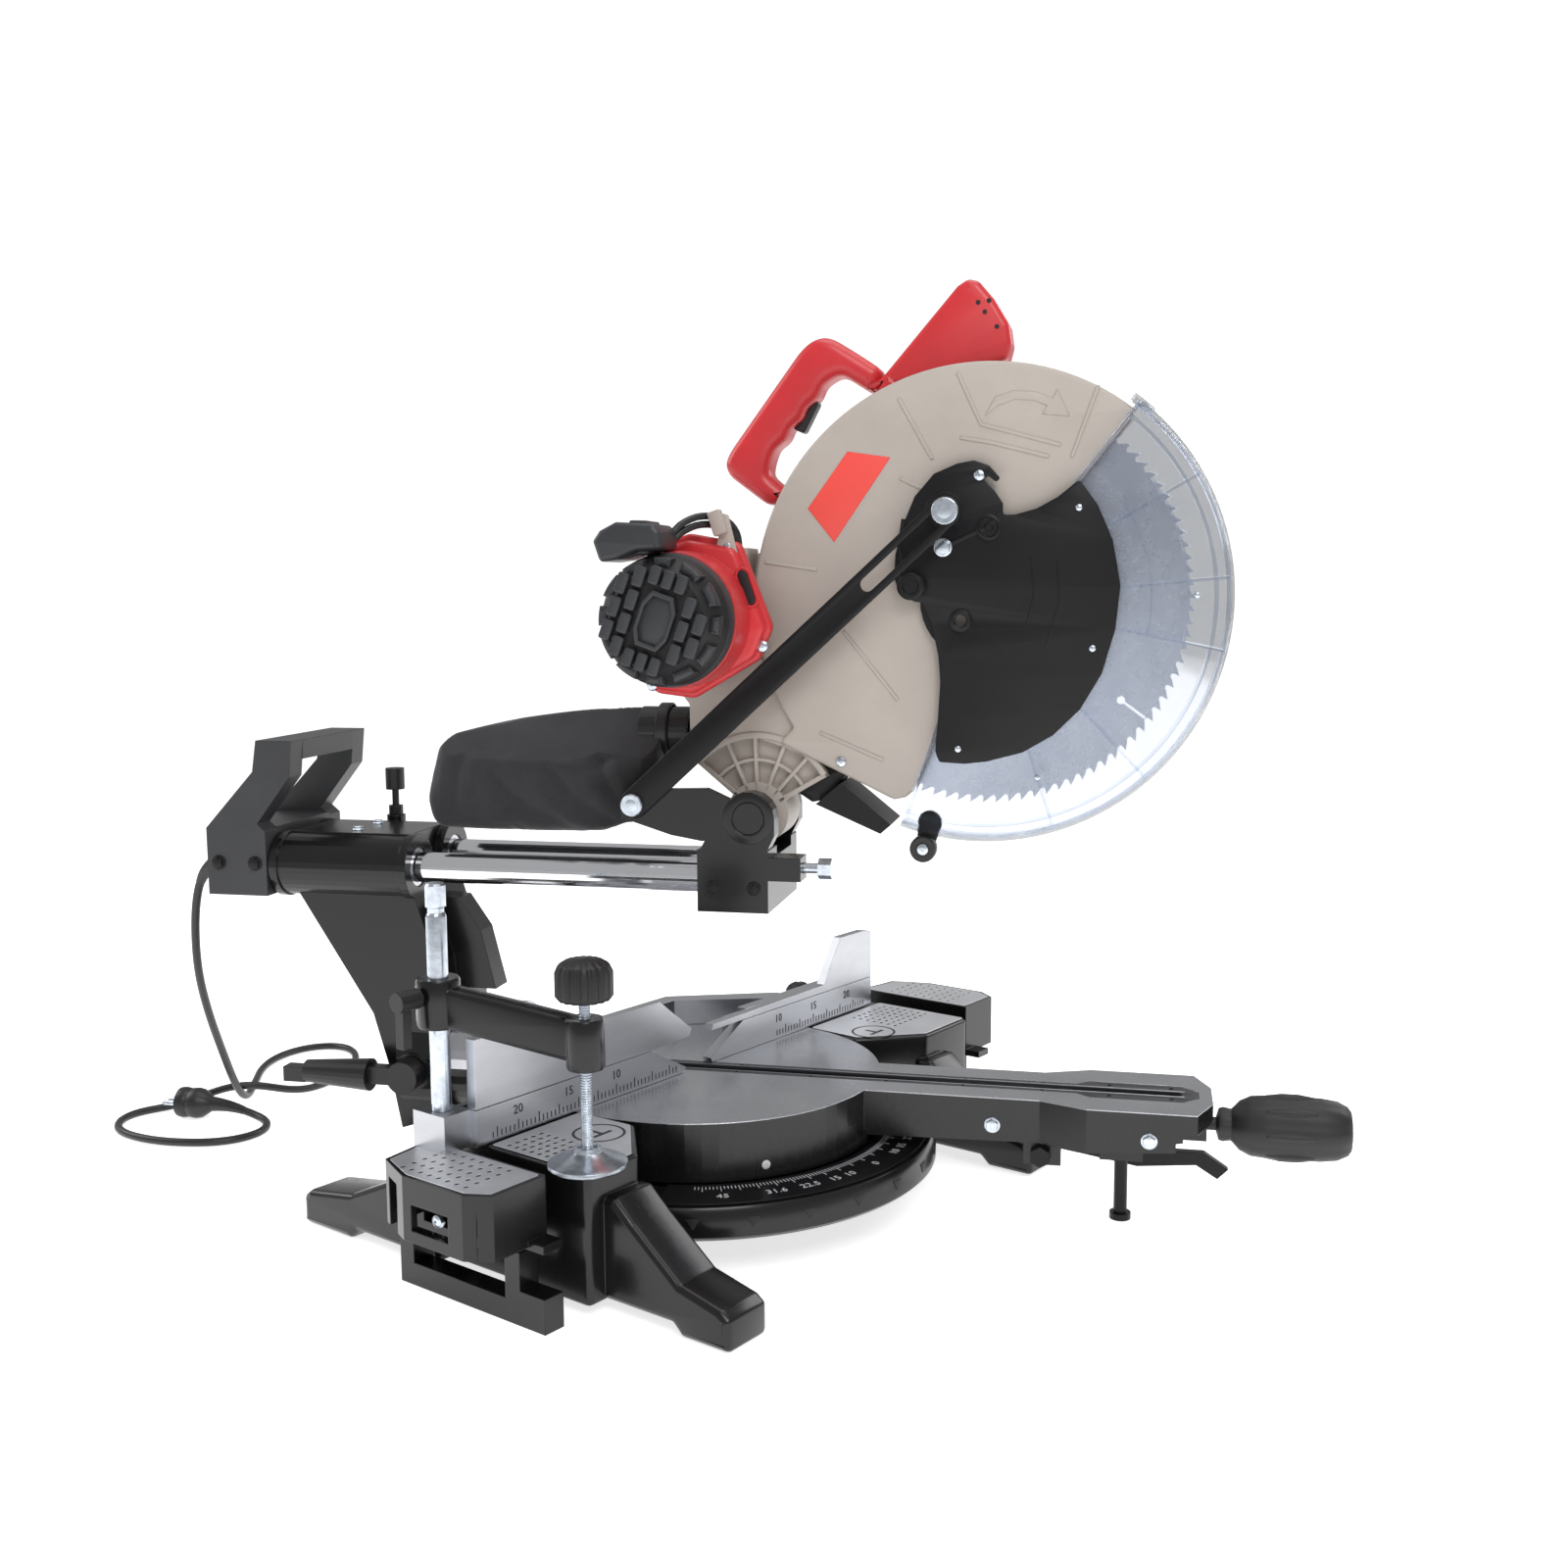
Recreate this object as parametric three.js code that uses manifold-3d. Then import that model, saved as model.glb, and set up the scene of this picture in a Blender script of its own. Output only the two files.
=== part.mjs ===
// Sliding compound miter saw with a 305 mm blade, head raised, rails run forward, table turned 25 degrees right.
// Millimetres, +Z up. Base frame: X to the operator's right, Y to the back, table axis at X = Y = 0, feet at Z = 0.
// Arm frame: s runs forward along the table's arm, t to the right across it. The arm frame turns with the table.
import * as THREE from "three";
import { mergeVertices } from "three/addons/utils/BufferGeometryUtils.js";
import Module from "manifold-3d";

const wasm = await Module();
wasm.setup();

const MITER = 25; // degrees, the table turned to the operator's right
const TABLE = 100; // height of the table top
const DISC_R = 142; // turntable
const BLADE_R = 152.5;
const BLADE = [223, 471]; // blade centre [s, z] with the head raised
const PIVOT = [52, 309]; // chop hinge
const MOTOR = [8, 458]; // motor axis
const LINK_LOW = [-37, 318]; // guard link's fixed end
const LINK_TOP = [199, 534]; // its pin on the guard
const LOCK_OFF = [98, 655]; // button the thumb pushes before the trigger
const RAIL = { z: 261, t: 35, r: 12 };
const GAP = 0.3;

const COLOUR = {
  black: 0x17181a, alu: 0xb9bcc2, steel: 0xc9cbd0, zinc: 0xb4bac2, red: 0xc22a30,
  beige: 0xa9a197, grey: 0x3c3e42, clear: 0xdfe6f2, rubber: 0x1b1b1c, fabric: 0x131315, scale: 0x2a2b2e,
};

// ---- solids from three geometries ----
function solid(geometry) {
  const g = geometry.clone();
  g.deleteAttribute("normal");
  g.deleteAttribute("uv");
  const merged = mergeVertices(g, 1e-4);
  return new wasm.Manifold(new wasm.Mesh({
    numProp: 3,
    vertProperties: new Float32Array(merged.attributes.position.array),
    triVerts: new Uint32Array(merged.index.array),
  }));
}

function box(x0, x1, y0, y1, z0, z1) {
  const g = new THREE.BoxGeometry(x1 - x0, y1 - y0, z1 - z0);
  return solid(g.translate((x0 + x1) / 2, (y0 + y1) / 2, (z0 + z1) / 2));
}

function shape(points) {
  return new THREE.Shape(points.map(([x, y]) => new THREE.Vector2(x, y)));
}

// Plan outline [x, y] raised from z0 to z1.
function plan(points, z0, z1) {
  const g = new THREE.ExtrudeGeometry(shape(points), { depth: z1 - z0, bevelEnabled: false });
  return solid(g.translate(0, 0, z0));
}

// Front outline [x, z] carried from y0 to y1.
function front(points, y0, y1) {
  const g = new THREE.ExtrudeGeometry(shape(points), { depth: y1 - y0, bevelEnabled: false });
  return solid(g.rotateX(Math.PI / 2).translate(0, y1, 0));
}

// Outline [y, z] carried from x0 to x1.
function profileX(points, x0, x1) {
  const g = new THREE.ExtrudeGeometry(shape(points), { depth: x1 - x0, bevelEnabled: false });
  return solid(g.rotateY(Math.PI / 2).rotateX(Math.PI / 2).translate(x0, 0, 0));
}

// Cylinder of radius r (r1 at the far end) along an axis from a to b; [u, v] are the other two coordinates.
function rod(axis, r, a, b, u, v, seg = 24, r1 = r) {
  const g = new THREE.CylinderGeometry(r1, r, b - a, seg);
  if (axis === "x") g.rotateZ(-Math.PI / 2).translate((a + b) / 2, u, v);
  if (axis === "y") g.translate(u, (a + b) / 2, v);
  if (axis === "z") g.rotateX(Math.PI / 2).translate(u, v, (a + b) / 2);
  return solid(g);
}

// ---- the same in the arm frame: x = t, y = -s ----
const boxA = (s0, s1, t0, t1, z0, z1) => box(t0, t1, -s1, -s0, z0, z1);
const planA = (points, z0, z1) => plan(points.map(([s, t]) => [t, -s]), z0, z1);
const alongS = (r, s0, s1, t, z, seg, r1) => rod("y", r1 ?? r, -s1, -s0, t, z, seg, r);
const alongT = (r, t0, t1, [s, z], seg, r1) => rod("x", r, t0, t1, -s, z, seg, r1);
const upA = (r, z0, z1, s, t, seg, r1) => rod("z", r, z0, z1, t, -s, seg, r1);

// Side outline [s, z] carried across from t0 to t1.
const side = (points, t0, t1) => profileX(points.map(([s, z]) => [-s, z]), t0, t1);

const join = (...parts) => parts.reduce((a, b) => a.add(b));
const cut = (a, ...parts) => parts.reduce((m, b) => m.subtract(b), a);

// Points of an arc about a centre, degrees counted from +s (or +x) towards +z (or +y).
function arc([cx, cy], r, from, to, steps) {
  return Array.from({ length: steps + 1 }, (_, i) => {
    const a = ((from + ((to - from) * i) / steps) * Math.PI) / 180;
    return [cx + r * Math.cos(a), cy + r * Math.sin(a)];
  });
}

// Wedge of a ring about a centre.
const ring = (c, r0, r1, from, to, n) => [...arc(c, r1, from, to, n), ...arc(c, r0, to, from, n)];
const stadium = (a, b, ra, rb, n = 12) => {
  const dir = (Math.atan2(b[1] - a[1], b[0] - a[0]) * 180) / Math.PI;
  return [...arc(b, rb, dir - 90, dir + 90, n), ...arc(a, ra, dir + 90, dir + 270, n)];
};

function tube(points, r, sides, steps) {
  const curve = new THREE.CatmullRomCurve3(points.map((p) => new THREE.Vector3(...p)));
  const ringPoints = arc([0, 0], r, 0, 360 - 360 / sides, sides - 1);
  const g = new THREE.ExtrudeGeometry(shape(ringPoints), { steps, extrudePath: curve, bevelEnabled: false });
  return solid(g);
}

// ---- assembly ----
const root = new THREE.Group();
const baseFrame = new THREE.Group();
const armFrame = new THREE.Group();
armFrame.rotation.z = (MITER * Math.PI) / 180;
root.add(baseFrame, armFrame);

function put(frame, name, manifold, colour) {
  const made = manifold.getMesh();
  const count = made.vertProperties.length / made.numProp;
  const position = new Float32Array(count * 3);
  for (let i = 0; i < count; i++)
    for (let k = 0; k < 3; k++) position[3 * i + k] = made.vertProperties[i * made.numProp + k];
  const g = new THREE.BufferGeometry();
  g.setAttribute("position", new THREE.BufferAttribute(position, 3));
  g.setIndex(Array.from(made.triVerts));
  const mesh = new THREE.Mesh(g, new THREE.MeshStandardMaterial({ color: colour }));
  mesh.name = name;
  frame.add(mesh);
}
const onBase = (name, m, colour) => put(baseFrame, name, m, colour);
const onArm = (name, m, colour) => put(armFrame, name, m, colour);

// ---- base ----
function foot(k, outer, y0, y1, yBody) {
  const [a, b] = k < 0 ? [-outer, 41 - outer] : [outer - 41, outer];
  const d = Math.sign(y1 - y0);
  return profileX([[yBody, 8], [y0 + d * 4, 8], [y0 + d * 12, 0], [y1, 0], [y1, 24], [y0 + d * 8, 36],
    [yBody + d * 16, 78],
    [yBody, 78]], a, b);
}
function wing(k) {
  const [x, inner] = k < 0 ? [-230, -181] : [250, 184];
  return plan([[x, -96], [inner, -96], [k * 132, -50], [k * 132, 46], [x, 46]], 8, TABLE);
}
function baseCasting() {
  const dish = cut(join(rod("z", 187, 30, 54, 0, 0, 72, 184), rod("z", 183, 44, 51, 0, 0, 72)),
    rod("z", 176, 20, 44, 0, 0, 48));
  const rods = [-60, 8].flatMap((y) => [box(-231, -150, y, y + 16, 62, 78), box(150, 251, y, y + 16, 62, 78)]);
  const feet = [foot(-1, 215, -150, -202, -90), foot(1, 215, -150, -202, -90), foot(-1, 241, 130, 197, 40),
    foot(1, 241, 130, 197, 40)];
  const fenceSeats = [box(-240, -100, -0.5, 60, 99.4, 120), box(100, 260, -0.5, 60, 99.4, 120)];
  return cut(join(dish, wing(-1), wing(1), rod("z", 20, 34, 51, 0, 0, 32), ...feet),
    rod("z", 143.2, 51, 120, 0, 0, 72),
    rod("z", 8.3, 0, 60, 0, 0, 24), ...rods, ...fenceSeats);
}
onBase("base_casting", baseCasting(), COLOUR.black);
onBase("miter_scale", plan(ring([0, 0], 144, 181, -150, -30, 48), 54 + GAP, 55.6), COLOUR.scale);
onBase("turntable_bolt", join(rod("z", 8, 30, 88, 0, 0, 24),
  rod("z", 14, 22, 29.7, 0, 0, 6).add(rod("z", 8, 29, 31, 0, 0, 24))),
  COLOUR.zinc);

// ---- fence ----
const KNOB_Z = 121;
function fenceCasting() {
  const left = front([[-239, 100.3], [-24, 100.3], [-20, 104], [-60, 126], [-239, 126]], 0, 9);
  const right = front([[239, 100.3], [12, 100.3], [10, 104], [52, 126], [239, 126]], 0, 9);
  const footL = box(-239, -150, 8, 44, 100.3, 108);
  const footR = box(150, 239, 8, 44, 100.3, 108);
  const bow = plan([[-146, 26], [-80, 100], [80, 100], [146, 26], [156, 44], [86, 115], [-86, 115],
    [-156, 44]], 100.3, 122);
  const railL = box(-239, -60, 17.5, 22, 107, 126);
  const railR = box(52, 239, 17.5, 22, 107, 126);
  const tieL = box(-230, -150, 8, 22, 100.3, 108);
  const tieR = box(150, 230, 8, 22, 100.3, 108);
  const socket = cut(box(-262, -238, 6, 38, 100.3, 126.2), rod("z", 7.4, 104, 140, -250, 22, 24));
  const knobHoles = [-176, 171].map((x) => rod("y", 3.4, 15, 30, x, KNOB_Z, 16));
  const lugs = [-176, 171].map((x) => box(x - 9, x + 9, 17.5, 22, 107, 130));
  return cut(join(left, right, footL, footR, bow, railL, railR, tieL, tieR, socket, ...lugs), ...knobHoles);
}
onBase("fence_casting", fenceCasting(), COLOUR.alu);
onBase("upper_fence_left", join(
  front([[-239, 126.6], [-58, 126.6], [-16, 128], [-13, 134], [-50, 163], [-150, 163], [-176, 176],
    [-239, 176]], 0, 8),
  box(-225, -75, 7.5, 14.6, 127.2, 136), box(-190, -75, 9.5, 17, 109, 130)), COLOUR.alu);
onBase("upper_fence_right", join(
  front([[12, 126.6], [239, 126.6], [239, 169], [228, 171], [191, 171], [166, 133], [14, 131]], 0, 8),
  box(65, 225, 7.5, 17, 127.2, 132), box(65, 225, 9.5, 17, 109, 130)), COLOUR.alu);
for (const [name, x] of [["fence_knob_left", -176], ["fence_knob_right", 171]])
  onBase(name, join(rod("y", 3, 17.4, 32, x, KNOB_Z, 16), rod("y", 9, 27, 40, x, KNOB_Z, 20),
    box(x - 12, x + 12, 31, 38, KNOB_Z - 3, KNOB_Z + 3)), COLOUR.black);

// ---- sliding side supports ----
function sideSupport(k, inner, outer) {
  const [a, b] = [Math.min(k * inner, k * outer), Math.max(k * inner, k * outer)];
  const c = k * (outer - 14);
  const top = plan([[k * inner, -75], [k * (outer - 11), -75], [k * outer, -58], [k * outer, 0], [c, 34],
    [k * inner, 40]], 56, TABLE);
  const pocket = box(Math.min(k * outer, k * (outer - 9)), Math.max(k * outer, k * (outer - 9)), -44, -8,
    64, 82);
  const hollow = box(a + 5, b - 5, -66, 28, 50, 90);
  const legOut = outer - 40;
  const leg = box(Math.min(k * (legOut - 17), k * legOut), Math.max(k * (legOut - 17), k * legOut), -89, 54,
    0, 60);
  const window = box(a - 60, b + 60, -52, 40, 16, 44);
  const notch = box(a - 60, b + 60, -95, -66, 24, 54.5);
  const rods = [-52, 16].map((y) => rod("x", 6, k > 0 ? 175 : -inner - 6, k > 0 ? inner + 6 : -162, y, 70, 20));
  return join(cut(join(top, leg), pocket, hollow, window, notch, box(a - 60, b + 60, 44, 60, 50, 62)), ...rods);
}
onBase("side_support_left", sideSupport(-1, 247, 304), COLOUR.black);
onBase("side_support_right", sideSupport(1, 283, 340), COLOUR.black);

// ---- hold-down clamp ----
const POST = [-250, 22];
const SCREW = [-219, -86];
onBase("clamp_post", join(rod("z", 7, 104.4, 262, ...POST, 24), rod("z", 5.6, 262, 284, ...POST, 24),
  rod("z", 7, 266, 284, ...POST, 24)), COLOUR.zinc);
function clampArm() {
  const along = Math.atan2(SCREW[1] - POST[1], SCREW[0] - POST[0]);
  const g = new THREE.ExtrudeGeometry(shape([[-14, 187], [124, 169], [124, 200], [-14, 217]]),
    { depth: 18, bevelEnabled: false });
  g.rotateX(Math.PI / 2).translate(0, 9, 0).rotateZ(along).translate(POST[0], POST[1], 0);
  const beam = solid(g);
  const ends = join(rod("z", 15, 185, 219, ...POST, 24), rod("z", 13, 167, 201, ...SCREW, 24));
  return cut(join(beam, ends), rod("z", 7.3, 150, 240, ...POST, 24), rod("z", 4.4, 150, 240, ...SCREW, 24),
    rod("x", 3.3, -290, -254, 22, 208, 16));
}
onBase("clamp_arm", clampArm(), COLOUR.black);
onBase("clamp_lock_screw", join(rod("x", 3, -280, -257.6, 22, 208, 16), rod("x", 7, -286, -268, 22, 208, 16),
  box(-284, -277, 18, 26, 176, 208)), COLOUR.black);
onBase("clamp_screw", join(rod("z", 4, 110, 222, ...SCREW, 20), rod("z", 6, 106, 112, ...SCREW, 20)),
  COLOUR.zinc);
onBase("clamp_knob", cut(join(rod("z", 19.5, 213, 235, ...SCREW, 28),
  rod("z", 19.5, 235, 241, ...SCREW, 28, 14)),
  rod("z", 4.15, 200, 222.3, ...SCREW, 20)), COLOUR.black);
onBase("clamp_pad", cut(rod("z", 27, 100.3, 104, ...SCREW, 32).add(rod("z", 24, 103.9, 113, ...SCREW, 32, 9)),
  rod("z", 6.4, 105.6, 120, ...SCREW, 20)), COLOUR.zinc);

// ---- turntable ----
const ARM_PLAN = [[120, -36], [270, -36], [305, -50], [384, -50], [396, -20], [396, 20], [384, 50],
  [305, 50], [270, 36], [120, 36]];
const ARM_SIDE = [[100, 100], [400, 100], [400, 92], [393, 86], [374, 84], [374, 79], [369, 78], [369, 71],
  [340, 69], [300, 66],
  [257, 67], [100, 64]];

function turntable() {
  const disc = rod("z", DISC_R, 56, TABLE, 0, 0, 72);
  const arm = planA(ARM_PLAN, 60, TABLE).intersect(side(ARM_SIDE, -60, 60));
  const boss = join(alongS(45, -199.7, -150, 0, TABLE, 40), boxA(-165, -120, -44, 44, 57, 99));
  const lugs = join(boxA(258, 286, -34, -27, 50, 72), boxA(258, 286, 27, 34, 50, 72));
  const legBoss = boxA(314, 346, -14, 14, 50, 74);
  const handleBoss = boxA(366, 392, -16, 16, 70, 92);
  const hollow = cut(join(rod("z", 133, 50, 91, 0, 0, 48), boxA(110, 300, -28, 28, 50, 91),
    boxA(299, 384, -42, 42, 73.5, 91)),
    rod("z", 22, 56, 95, 0, 0, 32), legBoss, handleBoss);
  const kerf = join(planA(kerfOutline(0.3), 96.8, 110), boxA(-112, 376, -7, 7, 80, 98));
  const bores = join(rod("z", 8.3, 40, 88.4, 0, 0, 24), alongT(5.3, -60, 60, [271, 58], 20),
    upA(5.3, 40, 90, 330, 0, 20),
    alongS(5.4, 340, 410, 0, 79, 20));
  return cut(join(disc, arm, boss, lugs, legBoss, handleBoss), hollow, kerf, bores);
}
function kerfOutline(grow) {
  const [w, wide, a, b] = [12 + grow, 20 + grow, -118 - grow, 386 + grow];
  return [[a, -w], [296, -w], [306, -wide], [b - 12, -wide], [b, -wide + 12], [b, wide - 12],
    [b - 12, wide], [306, wide], [296, w], [a, w]];
}
onArm("turntable", turntable(), COLOUR.black);
onArm("kerf_plate", cut(planA(kerfOutline(0), 97.1, 99.8), boxA(-106, 374, -5.2, 5.2, 90, 110)), COLOUR.grey);
onArm("miter_pointer", join(boxA(143, 172, 40, 48, 57.5, 59.5), boxA(143, 145.5, 36.3, 48, 57.5, 80)),
  COLOUR.steel);
onArm("miter_lock_handle", join(alongS(5, 298, 419, 0, 79, 20), alongS(7, 290, 298.4, 0, 79, 20),
  alongS(14, 398, 412, 0, 79, 24), alongS(28, 412, 428, 0, 79, 24, 21), alongS(26, 427.9, 486, 0, 79, 24, 28),
  alongS(20, 485.9, 495, 0, 79, 24, 26)), COLOUR.rubber);
function detentLever() {
  const strip = side([[262, 64], [285, 62], [342, 50], [392, 50], [410, 38], [402, 30], [386, 40],
    [342, 36], [284, 46], [262, 52]],
    15.5, 22.5);
  const pin = join(alongT(5, -38, 38, [271, 58], 20), alongT(8, -42, -34.3, [271, 58], 6));
  return join(strip, alongT(10, 15.5, 26.6, [271, 58], 24), pin);
}
onArm("detent_lever", detentLever(), COLOUR.black);
onArm("tip_leg", join(upA(5, 4, 58, 330, 0, 20), upA(8, 0, 5, 330, 0, 20)), COLOUR.black);

// ---- bevel arm and rail housing ----
function bevelArm() {
  const disc = alongS(54, -240, -203, 0, TABLE, 40);
  const web = side([[-327, 245], [-225, 245], [-206, 185], [-203, 150], [-203, 60], [-240, 48], [-250, 100],
    [-262, 142]], -46, 46);
  const fin = side([[-228, 234], [-200, 232], [-182, 206], [-170, 158], [-204, 158], [-228, 190]], -12, 12);
  const tubes = join(...[-RAIL.t, RAIL.t].flatMap((t) => [alongS(25, -341, -223, t, RAIL.z, 32),
    alongS(26.5, -341, -334, t, RAIL.z, 32), alongS(26.5, -230, -223, t, RAIL.z, 32)]));
  const bridge = boxA(-334, -230, -RAIL.t, RAIL.t, 240, 287);
  const lockBoss = upA(8, 275, 290, -284, 52, 20);
  const leverBoss = alongT(15, -56, -40, [-226, 98], 24);
  const bores = join(...[-RAIL.t, RAIL.t].map((t) => alongS(15.8, -345, -219, t, RAIL.z, 32)),
    upA(3.3, 262, 300, -284, 52, 16), alongT(4.3, -60, -20, [-226, 98], 20));
  return cut(join(disc, web, fin, tubes, bridge, lockBoss, leverBoss), bores);
}
onArm("bevel_arm", bevelArm(), COLOUR.black);
for (const [name, t] of [["rail_bush_left", -RAIL.t], ["rail_bush_right", RAIL.t]])
  onArm(name, cut(alongS(15.4, -340, -224, t, RAIL.z, 32), alongS(12.2, -345, -219, t, RAIL.z, 32)),
    COLOUR.steel);
onArm("bevel_lock_lever", join(alongT(4, -62, -24, [-226, 98], 20), alongT(13, -74, -56.3, [-226, 98], 24),
  boxA(-262, -232, -71, -60, 91, 105), alongS(9, -312, -256, -65, 97, 20, 13),
    boxA(-330, -311, -71, -59, 89, 101)), COLOUR.black);
onArm("rail_lock_screw", join(upA(2.9, 276, 316, -284, 52, 16), upA(6, 290.4, 298, -284, 52, 16),
  upA(8, 312, 330, -284, 52, 20)), COLOUR.black);

// ---- carriage: rails, their two end brackets, link ----
for (const [name, t] of [["rail_left", -RAIL.t], ["rail_right", RAIL.t]])
  onArm(name, alongS(RAIL.r, -380, 58, t, RAIL.z, 32), COLOUR.steel);

function rearBracket() {
  const outline = [[-394, 238], [-394, 292], [-351, 338], [-347, 363], [-316, 363], [-319, 334],
    [-349, 296], [-342, 290],
    [-342, 238]];
  const cheeks = join(side(outline, -62, -42), side(outline, 42, 62));
  const grip = side([[-347, 347], [-347, 363], [-316, 363], [-317, 347]], -43, 43);
  const block = side([[-394, 238], [-394, 292], [-342, 292], [-342, 238]], -43, 43);
  return cut(join(cheeks, grip, block),
    ...[-RAIL.t, RAIL.t].map((t) => alongS(12.4, -380.5, -330, t, RAIL.z, 32)));
}
onArm("rear_bracket", rearBracket(), COLOUR.grey);

function pivotBracket() {
  const block = cut(boxA(12, 67, -52, 52, 237, 284.5), boxA(44, 70, -21, 31, 277, 290));
  const lug = [[14, 284], [28, 309], ...arc(PIVOT, 20, 165, 0, 8), [72, 296], [66, 284]];
  const lugs = join(side(lug, -52, -36), side(lug, 36, 52));
  const linkLug = side([[-48, 306], [-47, 322], [-40, 329], [20, 331], [40, 322], [40, 294], [16, 291],
    [-8, 295], [-40, 305]], -52, -44);
  const stop = boxA(60, 92, -52, -30, 262, 280);
  const bores = join(...[-RAIL.t, RAIL.t].map((t) => alongS(12.4, 0, 58.5, t, RAIL.z, 32)),
    alongT(8.3, -60, 60, PIVOT, 24),
    alongT(12.3, -60, -46.7, PIVOT, 24), alongT(4.3, -60, -40, LINK_LOW, 20),
      alongS(4.3, 66, 100, -41, 271, 20));
  return cut(join(block, lugs, linkLug, stop), bores);
}
onArm("pivot_bracket", pivotBracket(), COLOUR.black);
onArm("pivot_pin", join(alongT(8, -48, 54, PIVOT, 24), alongT(12, -52.2, -47, PIVOT, 24)), COLOUR.black);
onArm("depth_stop_screw", join(alongS(4, 70, 112, -41, 271, 16), alongS(8, 104, 114, -41, 271, 6)),
  COLOUR.zinc);

function springPoints(turns, n) {
  return Array.from({ length: n + 1 }, (_, i) => {
    const a = (2 * Math.PI * turns * i) / n;
    return [-33.2 + (10.8 * i) / n, -PIVOT[0] + 14 * Math.cos(a), PIVOT[1] + 14 * Math.sin(a)];
  });
}
onArm("return_spring", tube(springPoints(3, 48), 1.4, 6, 72), COLOUR.steel);

function guardLink() {
  const bar = side(stadium(LINK_LOW, LINK_TOP, 11, 11, 8), -56, -52.6);
  const dir = Math.atan2(LINK_TOP[1] - LINK_LOW[1], LINK_TOP[0] - LINK_LOW[0]);
  const low = [LINK_TOP[0] - 76 * Math.cos(dir), LINK_TOP[1] - 76 * Math.sin(dir)];
  return cut(bar, alongT(4.3, -60, -50, LINK_LOW, 20), side(stadium(low, LINK_TOP, 5.2, 5.2, 8), -60, -50));
}
onArm("guard_link", guardLink(), COLOUR.black);
onArm("link_low_bolt", join(alongT(4, -60, -44.5, LINK_LOW, 20), alongT(8, -61, -56.3, LINK_LOW, 20)),
  COLOUR.zinc);
onArm("link_top_bolt", join(alongT(4, -60, -33.3, LINK_TOP, 20), alongT(9, -61, -56.3, LINK_TOP, 20),
  alongT(7, -52.3, -33.3, LINK_TOP, 20)), COLOUR.zinc);

// ---- head ----
function motorFlange(halfWide, halfTall) {
  const tilt = (-20 * Math.PI) / 180;
  const c = 12;
  const corners = [[halfWide, c - halfTall], [halfWide, halfTall - c], [halfWide - c, halfTall],
    [c - halfWide, halfTall],
    [-halfWide, halfTall - c], [-halfWide, c - halfTall], [c - halfWide, -halfTall], [halfWide - c, -halfTall]];
  return corners.map(([u, v]) => [MOTOR[0] + u * Math.cos(tilt) - v * Math.sin(tilt),
    MOTOR[1] + u * Math.sin(tilt) + v * Math.cos(tilt)]);
}
function headCasting() {
  const wheel = alongT(171, -24, 24, BLADE, 72);
  const sector = side([BLADE, ...arc(BLADE, 260, 51, 253, 24)], -24, 24);
  const arm = side([...arc(PIVOT, 24, 200, 320, 8), [112, 330], [128, 345], [150, 420], [60, 520],
    [-2, 500], [-30, 470], [-24, 420],
    [-2, 392], [-4, 352]], -20, 30);
  const motorTube = alongT(34, -44, 30, MOTOR, 32);
  const backPlate = side(stadium(MOTOR, BLADE, 44, 50, 12), 23, 30);
  const bearingBoss = alongT(24, 8, 30, BLADE, 32);
  const collar = cut(alongT(39, -29.4, -23, BLADE, 40), alongT(33, -35, -20, BLADE, 40));
  const rimGroove = cut(side([BLADE, ...arc(BLADE, 230, 150, 188, 8)], -32,
    14).intersect(alongT(180.5, -32, 14, BLADE, 72)),
    alongT(171.5, -32, 14, BLADE, 72));
  const cavity = cut(alongT(167, -20, 14, BLADE, 72), alongT(24, 8, 30, BLADE, 32));
  const open = [cavity, alongT(33, -40, -19, BLADE, 40), alongT(12.4, -1, 40, BLADE, 28),
    alongT(7, -50, 40, MOTOR, 24),
    alongT(8.3, -60, 60, PIVOT, 24), alongT(17.5, -40, -20.5, PIVOT, 28), alongS(15, -40, 70, 0, 370, 24),
      rimGroove];
  return cut(join(wheel.intersect(sector), arm, motorTube, side(motorFlange(39, 47), -44, -34), backPlate,
    bearingBoss, collar), ...open);
}
onArm("head_casting", headCasting(), COLOUR.beige);
onArm("drive_cover", cut(side(stadium(MOTOR, BLADE, 44, 50, 12), 30.3, 58),
  side(stadium(MOTOR, BLADE, 40, 46, 12), 20, 54)),
  COLOUR.beige);
onArm("drive_belt", cut(side(stadium(MOTOR, BLADE, 20.5, 32.5, 14), 36, 46),
  side(stadium(MOTOR, BLADE, 18.4, 30.4, 14), 30, 50)),
  COLOUR.rubber);
onArm("motor_armature", join(alongT(6, -131, 50, MOTOR, 24), alongT(26, -92, -56, MOTOR, 28),
  alongT(18, 35, 47, MOTOR, 28),
  alongT(13, -110, -100, MOTOR, 24)), COLOUR.steel);
onArm("motor_housing", cut(join(side(motorFlange(38, 46), -54, -44.3), alongT(47, -98, -53, MOTOR, 32)),
  alongT(41, -99, -52, MOTOR, 32), alongT(7, -60, -40, MOTOR, 24)), COLOUR.red);
onArm("motor_end_cap", cut(join(alongT(47, -118, -98.3, MOTOR, 32), alongT(38, -141, -117.9, MOTOR, 32, 47)),
  alongT(40, -120, -98, MOTOR, 32), alongT(33, -136, -119.9, MOTOR, 32, 40)), COLOUR.grey);
onArm("switch_box", side([[-38, 497], [-42, 520], [-30, 527], [8, 522], [10, 506], [-8, 505.8], [-24, 500],
  [-30, 496]], -128, -80),
  COLOUR.grey);
onArm("arbor", join(alongT(12, -14, 52, BLADE, 28), alongT(23, 2, 7, BLADE, 32),
  alongT(30, 35, 47, BLADE, 32)), COLOUR.steel);
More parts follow.
